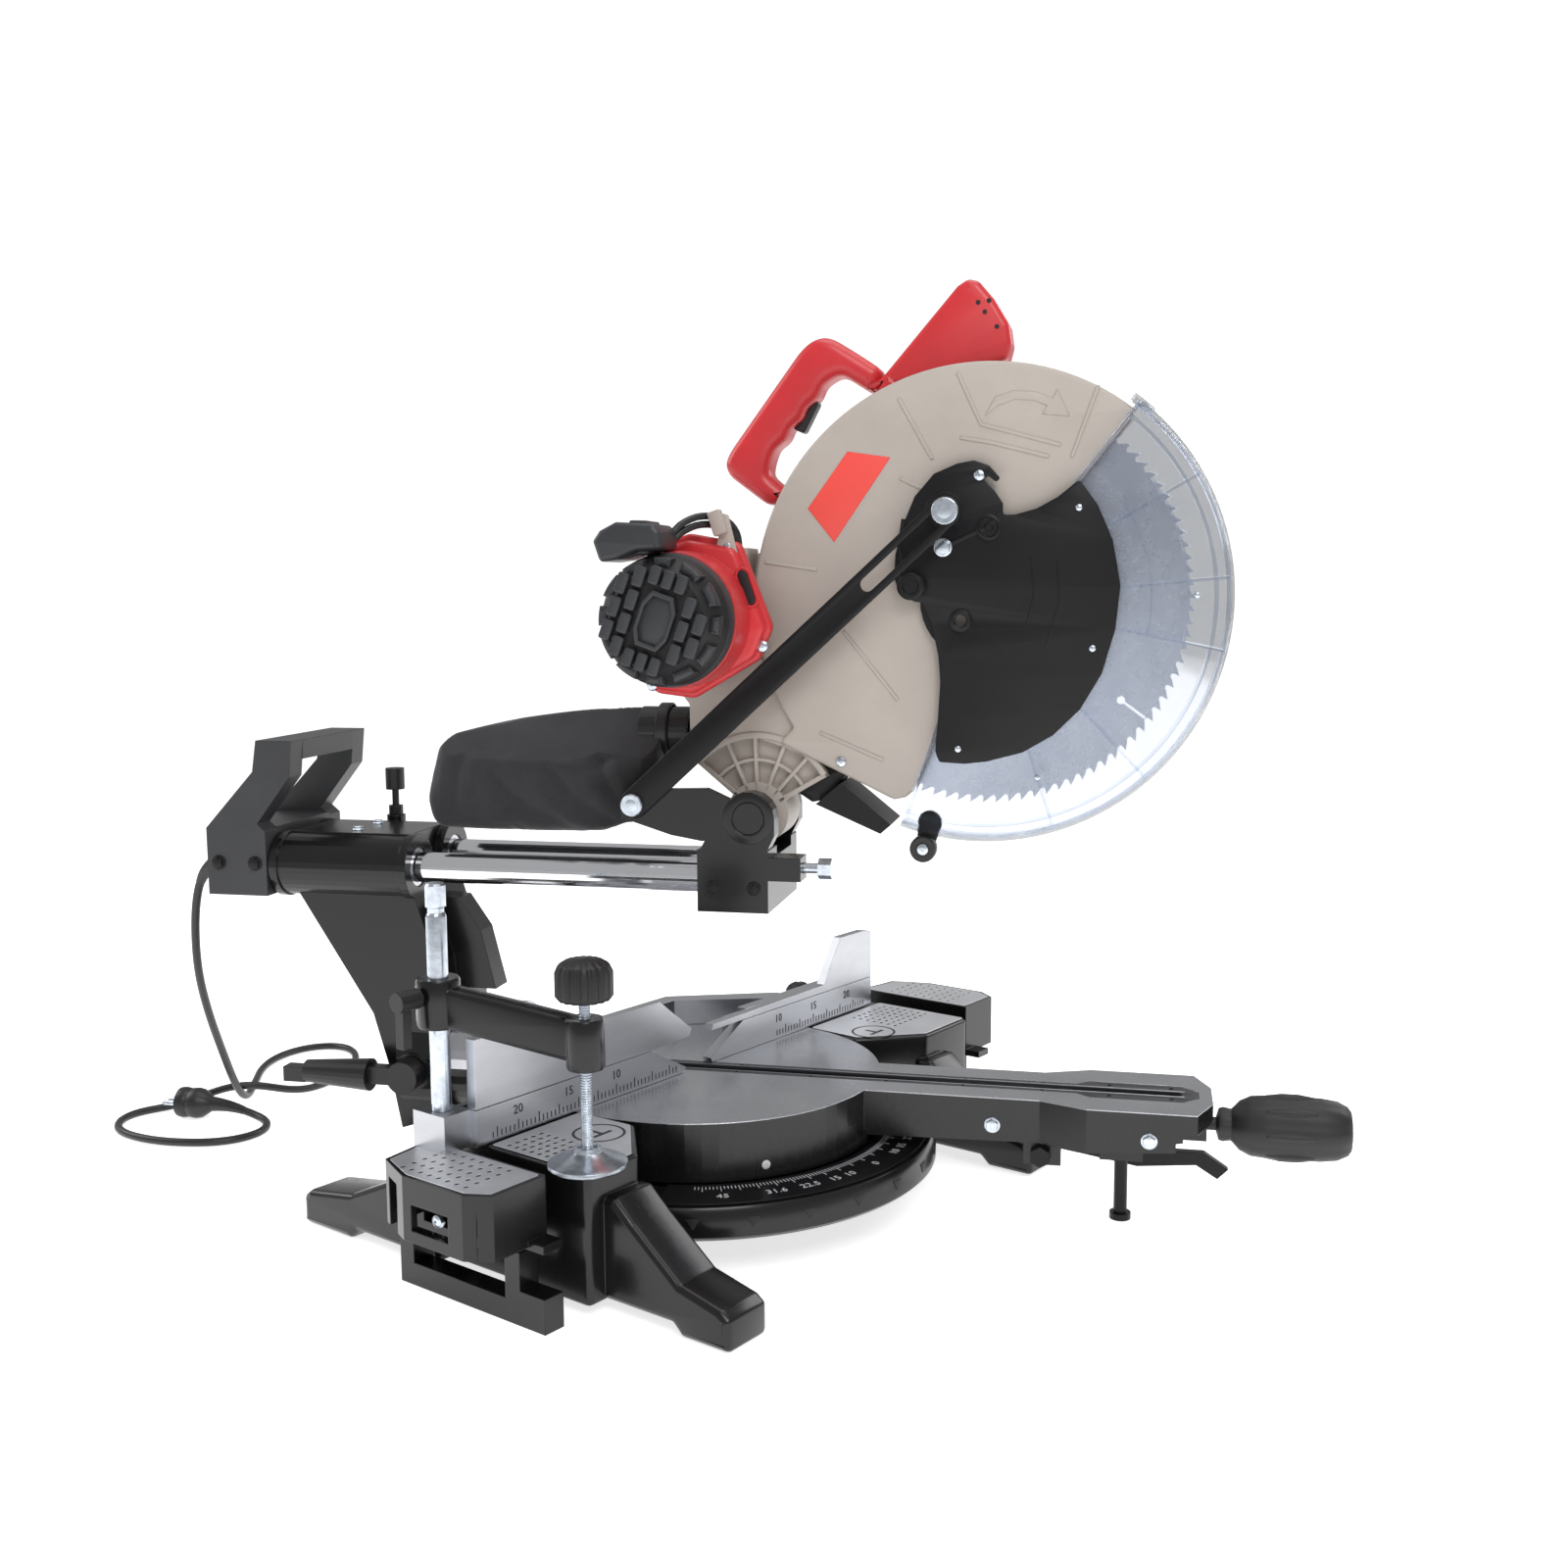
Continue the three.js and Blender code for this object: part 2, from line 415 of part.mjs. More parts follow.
onArm("outer_flange", cut(alongT(23, -8, -1.7, BLADE, 32), alongT(12.4, -20, 10, BLADE, 28)), COLOUR.steel);
onArm("arbor_bolt", join(alongT(15, -17, -14.3, BLADE, 28), alongT(11, -24, -16.9, BLADE, 6)), COLOUR.zinc);
onArm("saw_blade", cut(alongT(BLADE_R, -1.3, 1.3, BLADE, 96), alongT(12.4, -5, 5, BLADE, 28)), COLOUR.steel);
onArm("chip_deflector", cut(side([[98, 350], [88, 322], [148, 296], [156, 303]], -25, 25),
  alongT(171.5, -40, 40, BLADE, 72),
  side([[100, 420], [60, 300], [99, 318], [114, 331], [130, 345]], -31, 31)), COLOUR.black);

const HANDLE = [[62, 536], [19, 564], [14, 574], [17, 582], [77, 667], [90, 672], [105, 670], [143, 644],
  [140, 647], [197, 706],
  [203, 709], [210, 708], [224, 693], [237, 676], [239, 663], [236, 652], [222, 600], [180, 575],
    [120, 560], [90, 520]];
function handle() {
  const fingers = side([[103, 638], [126, 622], [120, 604], [98, 580], [76, 556], [66, 553], [52, 562],
    [60, 578], [70, 596]], 0, 90);
  const rimRoom = alongT(182, 0, 24.2, BLADE, 72);
  const headRoom = join(alongT(171.4, 0, 24.4, BLADE, 72), side(stadium(MOTOR, BLADE, 44.4, 50.4, 12), 20, 60));
  const switchPocket = side([[64, 608], [84, 634], [95, 626], [75, 600]], 30, 46);
  return cut(side(HANDLE, 18, 54), fingers, rimRoom, headRoom, switchPocket, alongT(6.3, 42, 60, LOCK_OFF, 20));
}
onArm("handle", handle(), COLOUR.red);
onArm("trigger", side([[85.6, 631.6], [97.9, 621.5], [81, 596.6], [73.2, 602.7]], 30.6, 45.4), COLOUR.black);
onArm("lock_off_button", alongT(6, 46, 58, LOCK_OFF, 20), COLOUR.black);

// ---- lower guard ----
const around = (points) => points.map(([s, z]) => [BLADE[0] + s, BLADE[1] + z]);
function guardCarrier() {
  const outline = around([...arc([0, 0], 112, -104, 48, 18), [42, 66], [12, 60], [2, 88], [-7, 98],
    [-44, 76], [-60, 40], [-58, 12],
    [-42, -2], [-36, -30], [-30, -60], [-27, -90]]);
  const hub = cut(alongT(45, -30.2, -24.6, BLADE, 40), alongT(39.8, -40, -20, BLADE, 40));
  return cut(side(outline, -33, -30).add(hub), alongT(5, -40, -20, [209, 455], 16));
}
onArm("guard_carrier", guardCarrier(), COLOUR.black);
function clearGuard() {
  const wall = side(around(ring([0, 0], 96, 178, -109.5, 52, 40)), -29.6, -27);
  const rim = side(around(ring([0, 0], 174.5, 178, -109.5, 52, 40)), -29.6, 12);
  const lug = side(around(ring([0, 0], 174.6, 198, -106, -100, 2)), -12, -7);
  return cut(join(wall, rim, lug), alongT(3.3, -20, 0, ROLLER, 16));
}
const ROLLER = [BLADE[0] - 43, BLADE[1] - 186];
onArm("clear_guard", clearGuard(), COLOUR.clear);
onArm("guard_roller", join(alongT(10, -25, -13, ROLLER, 24), alongT(3, -26, -3, ROLLER, 16)), COLOUR.rubber);

// ---- dust outlet and bag ----
onArm("dust_port", cut(alongS(19, -44, -4.6, 0, 370, 28), alongS(15.5, -50, 10, 0, 370, 28)), COLOUR.black);
onArm("dust_bag", cut(side([[-208, 296], [-212, 330], [-200, 366], [-140, 378], [-70, 386], [-26, 394],
  [-26, 346], [-44, 300],
  [-70, 294], [-150, 292]], -40, 38), alongS(19.4, -44.5, 0, 0, 370, 28),
  front([[-70, 320], [40, 430], [-70, 430]], 0, 240)), COLOUR.fabric);

// ---- mains cord ----
// It leaves the rear bracket, hangs to the floor and lies there in a loose bundle with the plug in its middle. Points are [s, t, z].
const CORD_R = 3.5;
const CORD_DROP = [[-395, -46, 262], [-405, -45.5, 259], [-414, -43, 248], [-422, -39, 222], [-428, -32, 192],
  [-436, -17, 158], [-447, 12, 117], [-459, 47, 76], [-471, 84, 34], [-478, 106, 12], [-482, 120, 4.5]];
onArm("cord", tube(CORD_DROP.map(([s, t, z]) => [t, -s, z]), CORD_R, 8, 60), COLOUR.rubber);
const LOOPS = [[60, 505], [250, 480]]; // ends of the bundle's middle line
onArm("cord_coil", cut(plan(stadium(...LOOPS, 62, 62), 0.2, 12), plan(stadium(...LOOPS, 36, 36), -5, 20)),
  COLOUR.rubber);
onArm("cord_plug", join(rod("y", 14, 486, 518, 72, 14.2, 20), rod("y", 2.3, 517, 534, 67, 14.2, 12),
  rod("y", 2.3, 517, 534, 77, 14.2, 12)), COLOUR.rubber);

// The frame's origin is the middle of the underside, measured without the cord.
root.updateMatrixWorld(true);
const bounds = new THREE.Box3();
root.traverse((node) => {
  if (node.isMesh && !node.name.startsWith("cord")) bounds.union(new THREE.Box3().setFromObject(node));
});
const centre = bounds.getCenter(new THREE.Vector3());
root.position.set(-centre.x, -centre.y, -bounds.min.z);
root.updateMatrixWorld(true);

export default root;
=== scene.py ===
"""Looks of the sliding miter saw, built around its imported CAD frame.

Sizes are millimetres in two local frames that share the table's turning axis. Base frame: x to the
operator's right, y to the back, z up. Arm frame: the same, turned with the table; its x is t (across the
arm) and its y is -s (s runs forward along the arm). Every piece ends up in metres in the row frame.
"""

from math import atan2, cos, degrees, hypot, pi, radians, sin

import bmesh
import bpy
from mathutils import Matrix, Vector, noise
from mathutils.geometry import tessellate_polygon


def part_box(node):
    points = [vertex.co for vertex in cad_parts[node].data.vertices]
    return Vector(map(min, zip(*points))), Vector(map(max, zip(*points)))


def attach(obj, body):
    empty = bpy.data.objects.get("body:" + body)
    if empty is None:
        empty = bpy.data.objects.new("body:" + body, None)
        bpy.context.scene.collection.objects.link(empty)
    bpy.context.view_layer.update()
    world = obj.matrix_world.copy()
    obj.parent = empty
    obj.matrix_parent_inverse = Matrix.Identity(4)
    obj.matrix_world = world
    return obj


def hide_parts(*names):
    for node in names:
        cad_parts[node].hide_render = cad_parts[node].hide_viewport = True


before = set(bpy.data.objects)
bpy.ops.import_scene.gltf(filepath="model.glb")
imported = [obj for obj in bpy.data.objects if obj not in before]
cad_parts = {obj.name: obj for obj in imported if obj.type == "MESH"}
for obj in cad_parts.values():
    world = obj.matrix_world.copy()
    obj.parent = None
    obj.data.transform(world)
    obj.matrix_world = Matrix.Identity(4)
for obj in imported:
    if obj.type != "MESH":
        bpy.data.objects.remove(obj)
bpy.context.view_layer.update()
SCENE = bpy.context.scene

DISC_R = 142  # turntable
MITER = 25  # degrees that the table is turned to the right
TABLE = 100  # height of the table top
BLADE = (223, 471)  # blade centre, s and z
BLADE_R = 152.5
GUARD_R = 171  # outside of the upper guard
PIVOT = (52, 309)  # chop hinge
MOTOR = (8, 458)  # motor axis
LINK_LOW, LINK_TOP = (-37, 318), (199, 534)
RAIL_Z, RAIL_T = 261, 35

low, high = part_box("turntable_bolt")
AXIS = (low + high) / 2
BASE = Matrix.Translation((AXIS.x, AXIS.y, 0)) @ Matrix.Scale(0.001, 4)
ARM = BASE @ Matrix.Rotation(radians(MITER), 4, "Z")

# An outline lies in u, v and is raised along w. These lay it in a local frame.
FLAT = Matrix.Identity(4)
SIDE = Matrix(((0, 0, 1, 0), (-1, 0, 0, 0), (0, 1, 0, 0), (0, 0, 0, 1)))  # u = s, v = z, w = t
FRONT = Matrix(((1, 0, 0, 0), (0, 0, 1, 0), (0, 1, 0, 0), (0, 0, 0, 1)))  # u = x, v = z, w = y


def arm_point(s, t, z):
    return ARM @ Vector((t, -s, z))


# ---- outlines ----
def polar(centre, r, a):
    """The point at radius r and a degrees from a centre."""
    return centre[0] + r * cos(radians(a)), centre[1] + r * sin(radians(a))


def arc(centre, r, start, end, steps):
    return [polar(centre, r, start + (end - start) * i / steps) for i in range(steps + 1)]


def band(centre, r0, r1, start, end, steps=24):
    """Wedge of a ring."""
    return arc(centre, r1, start, end, steps) + arc(centre, r0, end, start, steps)


def stadium(a, b, ra, rb, steps=14):
    way = degrees(atan2(b[1] - a[1], b[0] - a[0]))
    return arc(b, rb, way - 90, way + 90, steps) + arc(a, ra, way + 90, way + 270, steps)


def rect(u0, u1, v0, v1):
    return [(u0, v0), (u1, v0), (u1, v1), (u0, v1)]


def rounded(points, r, steps=4):
    """The outline with each corner rounded; a point may carry its own radius as a third number."""
    out = []
    for i, b in enumerate(points):
        corner = Vector(b[:2])
        before = Vector(points[i - 1][:2]) - corner
        after = Vector(points[(i + 1) % len(points)][:2]) - corner
        radius = b[2] if len(b) > 2 else r
        half = before.angle(after) / 2
        reach = min(radius / max(sin(half) / cos(half), 0.05) if half < pi / 2 - 0.02 else 0,
                    0.45 * before.length, 0.45 * after.length)
        if reach < 0.05:
            out.append(tuple(corner))
            continue
        p, q = corner + before.normalized() * reach, corner + after.normalized() * reach
        for k in range(steps + 1):
            f = k / steps
            out.append(tuple(p * (1 - f) ** 2 + corner * 2 * f * (1 - f) + q * f * f))
    return out


def ribbon(points, width):
    """Outline of a strip along an open line."""
    left, right = [], []
    for i, p in enumerate(points):
        a, b = Vector(points[max(i - 1, 0)]), Vector(points[min(i + 1, len(points) - 1)])
        way = (b - a).normalized() * width / 2
        left.append((p[0] - way.y, p[1] + way.x))
        right.append((p[0] + way.y, p[1] - way.x))
    return right + left[::-1]


def area(ring):
    return sum(ring[i - 1][0] * p[1] - p[0] * ring[i - 1][1] for i, p in enumerate(ring)) / 2


def inset(ring, d, blur=0):
    """The ring moved d to the left of its direction, which is inwards for a counter-clockwise one."""
    out, n = [], len(ring)
    soft = [Vector((sum(ring[(i + k) % n][0] for k in range(-blur, blur + 1)), sum(
        ring[(i + k) % n][1] for k in range(-blur, blur + 1)))) / (2 * blur + 1) for i in range(n)]
    for i, p in enumerate(ring):
        u = (soft[i] - soft[i - 1]).normalized()
        v = (soft[(i + 1) % n] - soft[i]).normalized()
        nu, nv = Vector((-u.y, u.x)), Vector((-v.y, v.x))
        out.append(Vector(p) + (nu + nv) * d / max(1 + nu.dot(nv), 0.35))
    return out


# ---- shells: (points, faces) in millimetres ----
def slab(outline, w0, w1, edge=0.8, holes=(), lay=FLAT, steps=2, blur=0):
    """An outline raised from w0 to w1 with rounded edges, and holes through it."""
    edge = min(edge, (w1 - w0) / 2 - 0.01)
    rings = [outline if area(outline) > 0 else outline[::-1]]
    rings += [h if area(h) < 0 else h[::-1] for h in holes]
    levels = []
    if edge > 0.02:
        turns = [k * pi / 2 / steps for k in range(steps + 1)]
        levels += [(w0 + edge * (1 - cos(a)), edge * (1 - sin(a))) for a in turns]
        levels += [(w1 - edge * (1 - cos(a)), edge * (1 - sin(a))) for a in turns[::-1]]
    else:
        levels = [(w0, 0), (w1, 0)]
    points, faces, caps = [], [], []
    for w, d in levels:
        caps.append([[Vector((*p, w)) for p in inset(r, d, blur if r is rings[0] else 0)] for r in rings])
        points += [p for ring in caps[-1] for p in ring]
    total = sum(len(r) for r in rings)
    for level in range(len(levels) - 1):
        start = 0
        for r in rings:
            n = len(r)
            for i in range(n):
                a, b = level * total + start + i, level * total + start + (i + 1) % n
                faces.append((a, b, b + total, a + total))
            start += n
    last = (len(levels) - 1) * total
    for tri in tessellate_polygon(caps[0]):
        faces.append(tuple(tri))
    for tri in tessellate_polygon(caps[-1]):
        faces.append(tuple(last + i for i in tri))
    return [lay @ p for p in points], faces


def side(outline, t0, t1, edge=0.8, **more):
    return slab(outline, t0, t1, edge, lay=SIDE, **more)


def front(outline, y0, y1, edge=0.8, **more):
    return slab(outline, y0, y1, edge, lay=FRONT, **more)


def lathe(profile, place, segments=40, flutes=0, depth=0.0):
    """A profile of (radius, height) turned about local z; flutes cut the rim in waves depth deep.
    A profile that doesn't reach the axis at either end is a ring, and closes on itself."""
    points, faces = [], []
    ring = profile[0][0] > 0 and profile[-1][0] > 0
    if ring:
        profile = profile + profile[:1]
    for r, h in profile:
        for i in range(segments):
            a = 2 * pi * i / segments
            wave = 1 - depth * (0.5 - 0.5 * cos(flutes * a)) ** 2 if flutes and r > 0 else 1
            points.append(place @ Vector((r * wave * cos(a), r * wave * sin(a), h)))
    for k in range(len(profile) - 1):
        for i in range(segments):
            j = (i + 1) % segments
            faces.append((k * segments + i, k * segments + j, (k + 1) * segments + j, (k + 1) * segments + i))
    for k, p in ((0, profile[0]), (len(profile) - 1, profile[-1])):
        if p[0] > 0 and not ring:
            faces.append(tuple(k * segments + i for i in range(segments)))
    return points, faces


def up(x, y, z=0.0):
    return Matrix.Translation((x, y, z))


def across(s, z, t=0.0, way=-1):
    """Local z along t in the arm frame; way -1 faces the left side of the saw."""
    return Matrix.Translation((t, -s, z)) @ Matrix.Rotation(way * pi / 2, 4, "Y")


def along(t, z, s=0.0):
    """Local z runs forward along the arm."""
    return Matrix.Translation((t, -s, z)) @ Matrix.Rotation(pi / 2, 4, "X")


def sweep(path, radii, sides=14, squash=1.0):
    """A tube along points; radii is one radius or one for each point."""
    path = [Vector(p) for p in path]
    radii = radii if isinstance(radii, (list, tuple)) else [radii] * len(path)
    way = (path[1] - path[0]).normalized()
    across_way = way.cross(Vector((0, 0, 1)) if abs(way.z) < 0.9 else Vector((1, 0, 0))).normalized()
    points, faces = [], []
    for i, p in enumerate(path):
        ahead = (path[min(i + 1, len(path) - 1)] - path[max(i - 1, 0)]).normalized()
        across_way = (across_way - ahead * across_way.dot(ahead)).normalized()
        over = ahead.cross(across_way)
        for k in range(sides):
            a = 2 * pi * k / sides
            points.append(p + (across_way * cos(a) * squash + over * sin(a)) * radii[i])
    for i in range(len(path) - 1):
        for k in range(sides):
            j = (k + 1) % sides
            faces.append((i * sides + k, i * sides + j, (i + 1) * sides + j, (i + 1) * sides + k))
    end = (len(path) - 1) * sides
    faces += [tuple(range(sides)), tuple(end + k for k in range(sides))]
    return points, faces


def moved(shell, matrix):
    return [matrix @ p for p in shell[0]], shell[1]


def turned(shell, axis_at, angle, axis="X"):
    """The shell turned by degrees about a local axis through a point."""
    here = Matrix.Translation(axis_at)
    return moved(shell, here @ Matrix.Rotation(radians(angle), 4, axis) @ here.inverted())


def lettering(text, size, lay, thick=0.15):
    """Generic figures as a shell: local u, v is the plane they lie in, centred on its origin."""
    curve = bpy.data.curves.new("figures", "FONT")
    curve.body, curve.size, curve.extrude = text, size, thick
    curve.align_x, curve.align_y, curve.resolution_u = "CENTER", "CENTER", 2
    obj = bpy.data.objects.new("figures", curve)
    SCENE.collection.objects.link(obj)
    mesh = bpy.data.meshes.new_from_object(obj.evaluated_get(bpy.context.evaluated_depsgraph_get()))
    shell = [lay @ v.co for v in mesh.vertices], [tuple(p.vertices) for p in mesh.polygons]
    bpy.data.objects.remove(obj)
    bpy.data.curves.remove(curve)
    bpy.data.meshes.remove(mesh)
    return shell


# ---- materials ----
def nodes_of(name):
    mat = bpy.data.materials.new(name)
    mat.use_nodes = True
    tree = mat.node_tree
    return mat, tree, tree.nodes["Principled BSDF"]


def add(tree, kind, **values):
    node = tree.nodes.new(kind)
    for key, value in values.items():
        if hasattr(node, key):
            setattr(node, key, value)
        else:
            node.inputs[key.replace("_", " ")].default_value = value
    return node


def coordinates(tree, stretch=(1, 1, 1)):
    where = add(tree, "ShaderNodeTexCoord")
    mapping = add(tree, "ShaderNodeMapping")
    mapping.inputs["Scale"].default_value = stretch
    tree.links.new(where.outputs["Object"], mapping.inputs["Vector"])
    return mapping.outputs["Vector"]


def ramp(tree, source, low_stop, high_stop):
    node = add(tree, "ShaderNodeValToRGB")
    (p0, c0), (p1, c1) = low_stop, high_stop
    node.color_ramp.elements[0].position, node.color_ramp.elements[0].color = p0, (*c0, 1)
    node.color_ramp.elements[1].position, node.color_ramp.elements[1].color = p1, (*c1, 1)
    tree.links.new(source, node.inputs["Fac"])
    return node.outputs["Color"]


def gloss(tree, shader, source, smooth, rough):
    """Roughness between two values, as source runs from 0 to 1."""
    span = add(tree, "ShaderNodeMapRange")
    span.inputs["To Min"].default_value, span.inputs["To Max"].default_value = smooth, rough
    tree.links.new(source, span.inputs["Value"])
    tree.links.new(span.outputs["Result"], shader.inputs["Roughness"])


def grained(tree, shader, source, bump, depth, edge):
    """Fine bump from source over edges softened by a radius in metres."""
    round_edge = add(tree, "ShaderNodeBevel", samples=4, Radius=edge)
    relief = add(tree, "ShaderNodeBump", Strength=bump, Distance=depth)
    tree.links.new(source, relief.inputs["Height"])
    tree.links.new(round_edge.outputs["Normal"], relief.inputs["Normal"])
    tree.links.new(relief.outputs["Normal"], shader.inputs["Normal"])


def surface(name, colour, rough, metallic=0.0, vary=0.12, blotch=18, grain=900, bump=0.15, depth=0.0001,
            edge=0.0007, stretch=(1, 1, 1), coat=0.0, specular=0.5):
    """A finish with large soft variation, fine grain in its roughness and bump, and softened edges."""
    mat, tree, shader = nodes_of(name)
    place = coordinates(tree, stretch)
    big = add(tree, "ShaderNodeTexNoise", Scale=blotch, Detail=4.0, Roughness=0.6)
    fine = add(tree, "ShaderNodeTexNoise", Scale=grain, Detail=3.0, Roughness=0.55)
    for node in (big, fine):
        tree.links.new(place, node.inputs["Vector"])
    dark, light = ([min(1, c * k) for c in colour] for k in (1 - vary, 1 + vary))
    base = ramp(tree, big.outputs["Fac"], (0.3, dark), (0.7, light))
    tree.links.new(base, shader.inputs["Base Color"])
    gloss(tree, shader, fine.outputs["Fac"], rough * 0.88, min(1, rough * 1.12))
    grained(tree, shader, fine.outputs["Fac"], bump, depth, edge)
    shader.inputs["Metallic"].default_value = metallic
    shader.inputs["Specular IOR Level"].default_value = specular
    shader.inputs["Coat Weight"].default_value = coat
    shader.inputs["Coat Roughness"].default_value = 0.08
    return mat


def two_level(name, lower, upper, level):
    """Paint up to a height, and the bare machined metal of the faces above it."""
    mat, tree, shader = nodes_of(name)
    where = add(tree, "ShaderNodeTexCoord")
    split = add(tree, "ShaderNodeSeparateXYZ")
    tree.links.new(where.outputs["Object"], split.inputs["Vector"])
    above = add(tree, "ShaderNodeMath", operation="GREATER_THAN")
    above.inputs[1].default_value = level
    tree.links.new(split.outputs["Z"], above.inputs[0])
    streaks = add(tree, "ShaderNodeTexNoise", Scale=90.0, Detail=5.0, Roughness=0.7)
    tree.links.new(coordinates(tree, (9, 0.6, 1)), streaks.inputs["Vector"])
    cloud = add(tree, "ShaderNodeTexNoise", Scale=14.0, Detail=3.0)
    tree.links.new(coordinates(tree), cloud.inputs["Vector"])
    metal = ramp(tree, cloud.outputs["Fac"], (0.3, [c * 0.82 for c in upper]), (0.7, upper))
    colour = add(tree, "ShaderNodeMix", data_type="RGBA")
    tree.links.new(above.outputs[0], colour.inputs["Factor"])
    colour.inputs[6].default_value = (*lower, 1)
    tree.links.new(metal, colour.inputs[7])
    tree.links.new(colour.outputs[2], shader.inputs["Base Color"])
    tree.links.new(above.outputs[0], shader.inputs["Metallic"])
    gloss(tree, shader, streaks.outputs["Fac"], 0.16, 0.34)
    grained(tree, shader, streaks.outputs["Fac"], 0.08, 0.0001, 0.001)
    return mat


def clear_plastic():
    mat, tree, shader = nodes_of("clear_polycarbonate")
    haze = add(tree, "ShaderNodeTexNoise", Scale=40.0, Detail=5.0, Roughness=0.7)
    tree.links.new(coordinates(tree), haze.inputs["Vector"])
    tint = ramp(tree, haze.outputs["Fac"], (0.3, (0.74, 0.79, 0.88)), (0.7, (0.84, 0.88, 0.95)))
    tree.links.new(tint, shader.inputs["Base Color"])
    gloss(tree, shader, haze.outputs["Fac"], 0.04, 0.22)
    shader.inputs["Transmission Weight"].default_value = 1.0
    shader.inputs["IOR"].default_value = 1.12
    shader.inputs["Alpha"].default_value = 0.66
    return mat


def woven():
    """Tight black bag cloth: crossed threads, a soft sheen, faded creases."""
    mat, tree, shader = nodes_of("bag_cloth")
    place = coordinates(tree)
    threads = []
    for direction in ("X", "Z"):
        wave = add(tree, "ShaderNodeTexWave", wave_type="BANDS", bands_direction=direction, Scale=420.0,
                   Distortion=0.6)
        tree.links.new(place, wave.inputs["Vector"])
        threads.append(wave.outputs["Fac"])
    weave = add(tree, "ShaderNodeMath", operation="MAXIMUM")
    for i, thread in enumerate(threads):
        tree.links.new(thread, weave.inputs[i])
    fade = add(tree, "ShaderNodeTexNoise", Scale=22.0, Detail=5.0)
    tree.links.new(place, fade.inputs["Vector"])
    tree.links.new(ramp(tree, fade.outputs["Fac"], (0.3, (0.008, 0.008, 0.010)),
                        (0.75, (0.022, 0.022, 0.027))),
                   shader.inputs["Base Color"])
    relief = add(tree, "ShaderNodeBump", Strength=0.35, Distance=0.0003)
    tree.links.new(weave.outputs[0], relief.inputs["Height"])
    tree.links.new(relief.outputs["Normal"], shader.inputs["Normal"])
    shader.inputs["Roughness"].default_value = 0.78
    shader.inputs["Sheen Weight"].default_value = 0.35
    shader.inputs["Sheen Roughness"].default_value = 0.4
    return mat


BLACK = surface("black_paint", (0.006, 0.006, 0.0065), 0.24, vary=0.15, grain=420, bump=0.08, edge=0.0012,
                coat=0.1, specular=0.4)
SATIN_BLACK = surface("satin_black", (0.006, 0.006, 0.007), 0.36, vary=0.2, grain=700, bump=0.1, edge=0.0008,
                      specular=0.28)
GREY = surface("grey_paint", (0.03, 0.031, 0.034), 0.44, vary=0.15, grain=650, bump=0.25, depth=0.0002,
               edge=0.0012)
BEIGE = surface("beige_paint", (0.42, 0.375, 0.335), 0.46, vary=0.05, grain=520, bump=0.16, edge=0.0012)
ALU = surface("machined_aluminium", (0.5, 0.51, 0.54), 0.3, metallic=1.0, vary=0.06, grain=260, bump=0.05,
              stretch=(1, 1, 4), edge=0.0005)
PLATE = surface("ground_plate", (0.75, 0.76, 0.79), 0.42, metallic=0.9, vary=0.08, grain=260, bump=0.03,
                edge=0.0)
STEEL = surface("ground_steel", (0.56, 0.57, 0.6), 0.27, metallic=1.0, vary=0.04, blotch=9, grain=90,
                bump=0.015, edge=0.0003)
CHROME = surface("chromed_rail", (0.82, 0.83, 0.86), 0.1, metallic=1.0, vary=0.04, blotch=8, grain=300,
                 bump=0.03, edge=0.0003)
ZINC = surface("zinc_plate", (0.60, 0.65, 0.72), 0.25, metallic=1.0, vary=0.2, blotch=140, grain=800,
               bump=0.2, edge=0.0005)
RED = surface("red_plastic", (0.55, 0.022, 0.028), 0.36, vary=0.08, grain=1100, bump=0.2, edge=0.001,
              coat=0.1)
DECAL = surface("red_decal", (0.80, 0.07, 0.055), 0.45, vary=0.03, grain=900, bump=0.05)
BLACK_PLASTIC = surface("black_plastic", (0.009, 0.009, 0.01), 0.42, vary=0.2, grain=1200, bump=0.3,
                        edge=0.0008)
GREY_PLASTIC = surface("grey_plastic", (0.026, 0.027, 0.031), 0.42, vary=0.1, grain=1100, bump=0.25,
                       edge=0.0006)
# Near-black finish that stands for the shade inside holes, slots and openings: painted shade.
PAINTED_SHADE = surface("painted_shade_recess", (0.006, 0.006, 0.007), 0.6, vary=0.2, grain=900, bump=0.1)
RUBBER = surface("cord_rubber", (0.014, 0.014, 0.015), 0.4, vary=0.2, grain=1500, bump=0.15, edge=0.0002)
GRIP = surface("grip_rubber", (0.012, 0.012, 0.013), 0.5, vary=0.2, grain=900, bump=0.35, edge=0.0006)
INK = surface("scale_ink", (0.02, 0.02, 0.022), 0.5, vary=0.1, grain=900, bump=0.02)
WHITE_INK = surface("white_ink", (0.62, 0.63, 0.65), 0.5, vary=0.05, grain=900, bump=0.02)
CLEAR = clear_plastic()
CLOTH = woven()
TABLE_TOP = two_level("painted_casting_with_machined_top", (0.006, 0.006, 0.0065), (0.56, 0.57, 0.6),
                      TABLE * 0.001 - 0.0006)


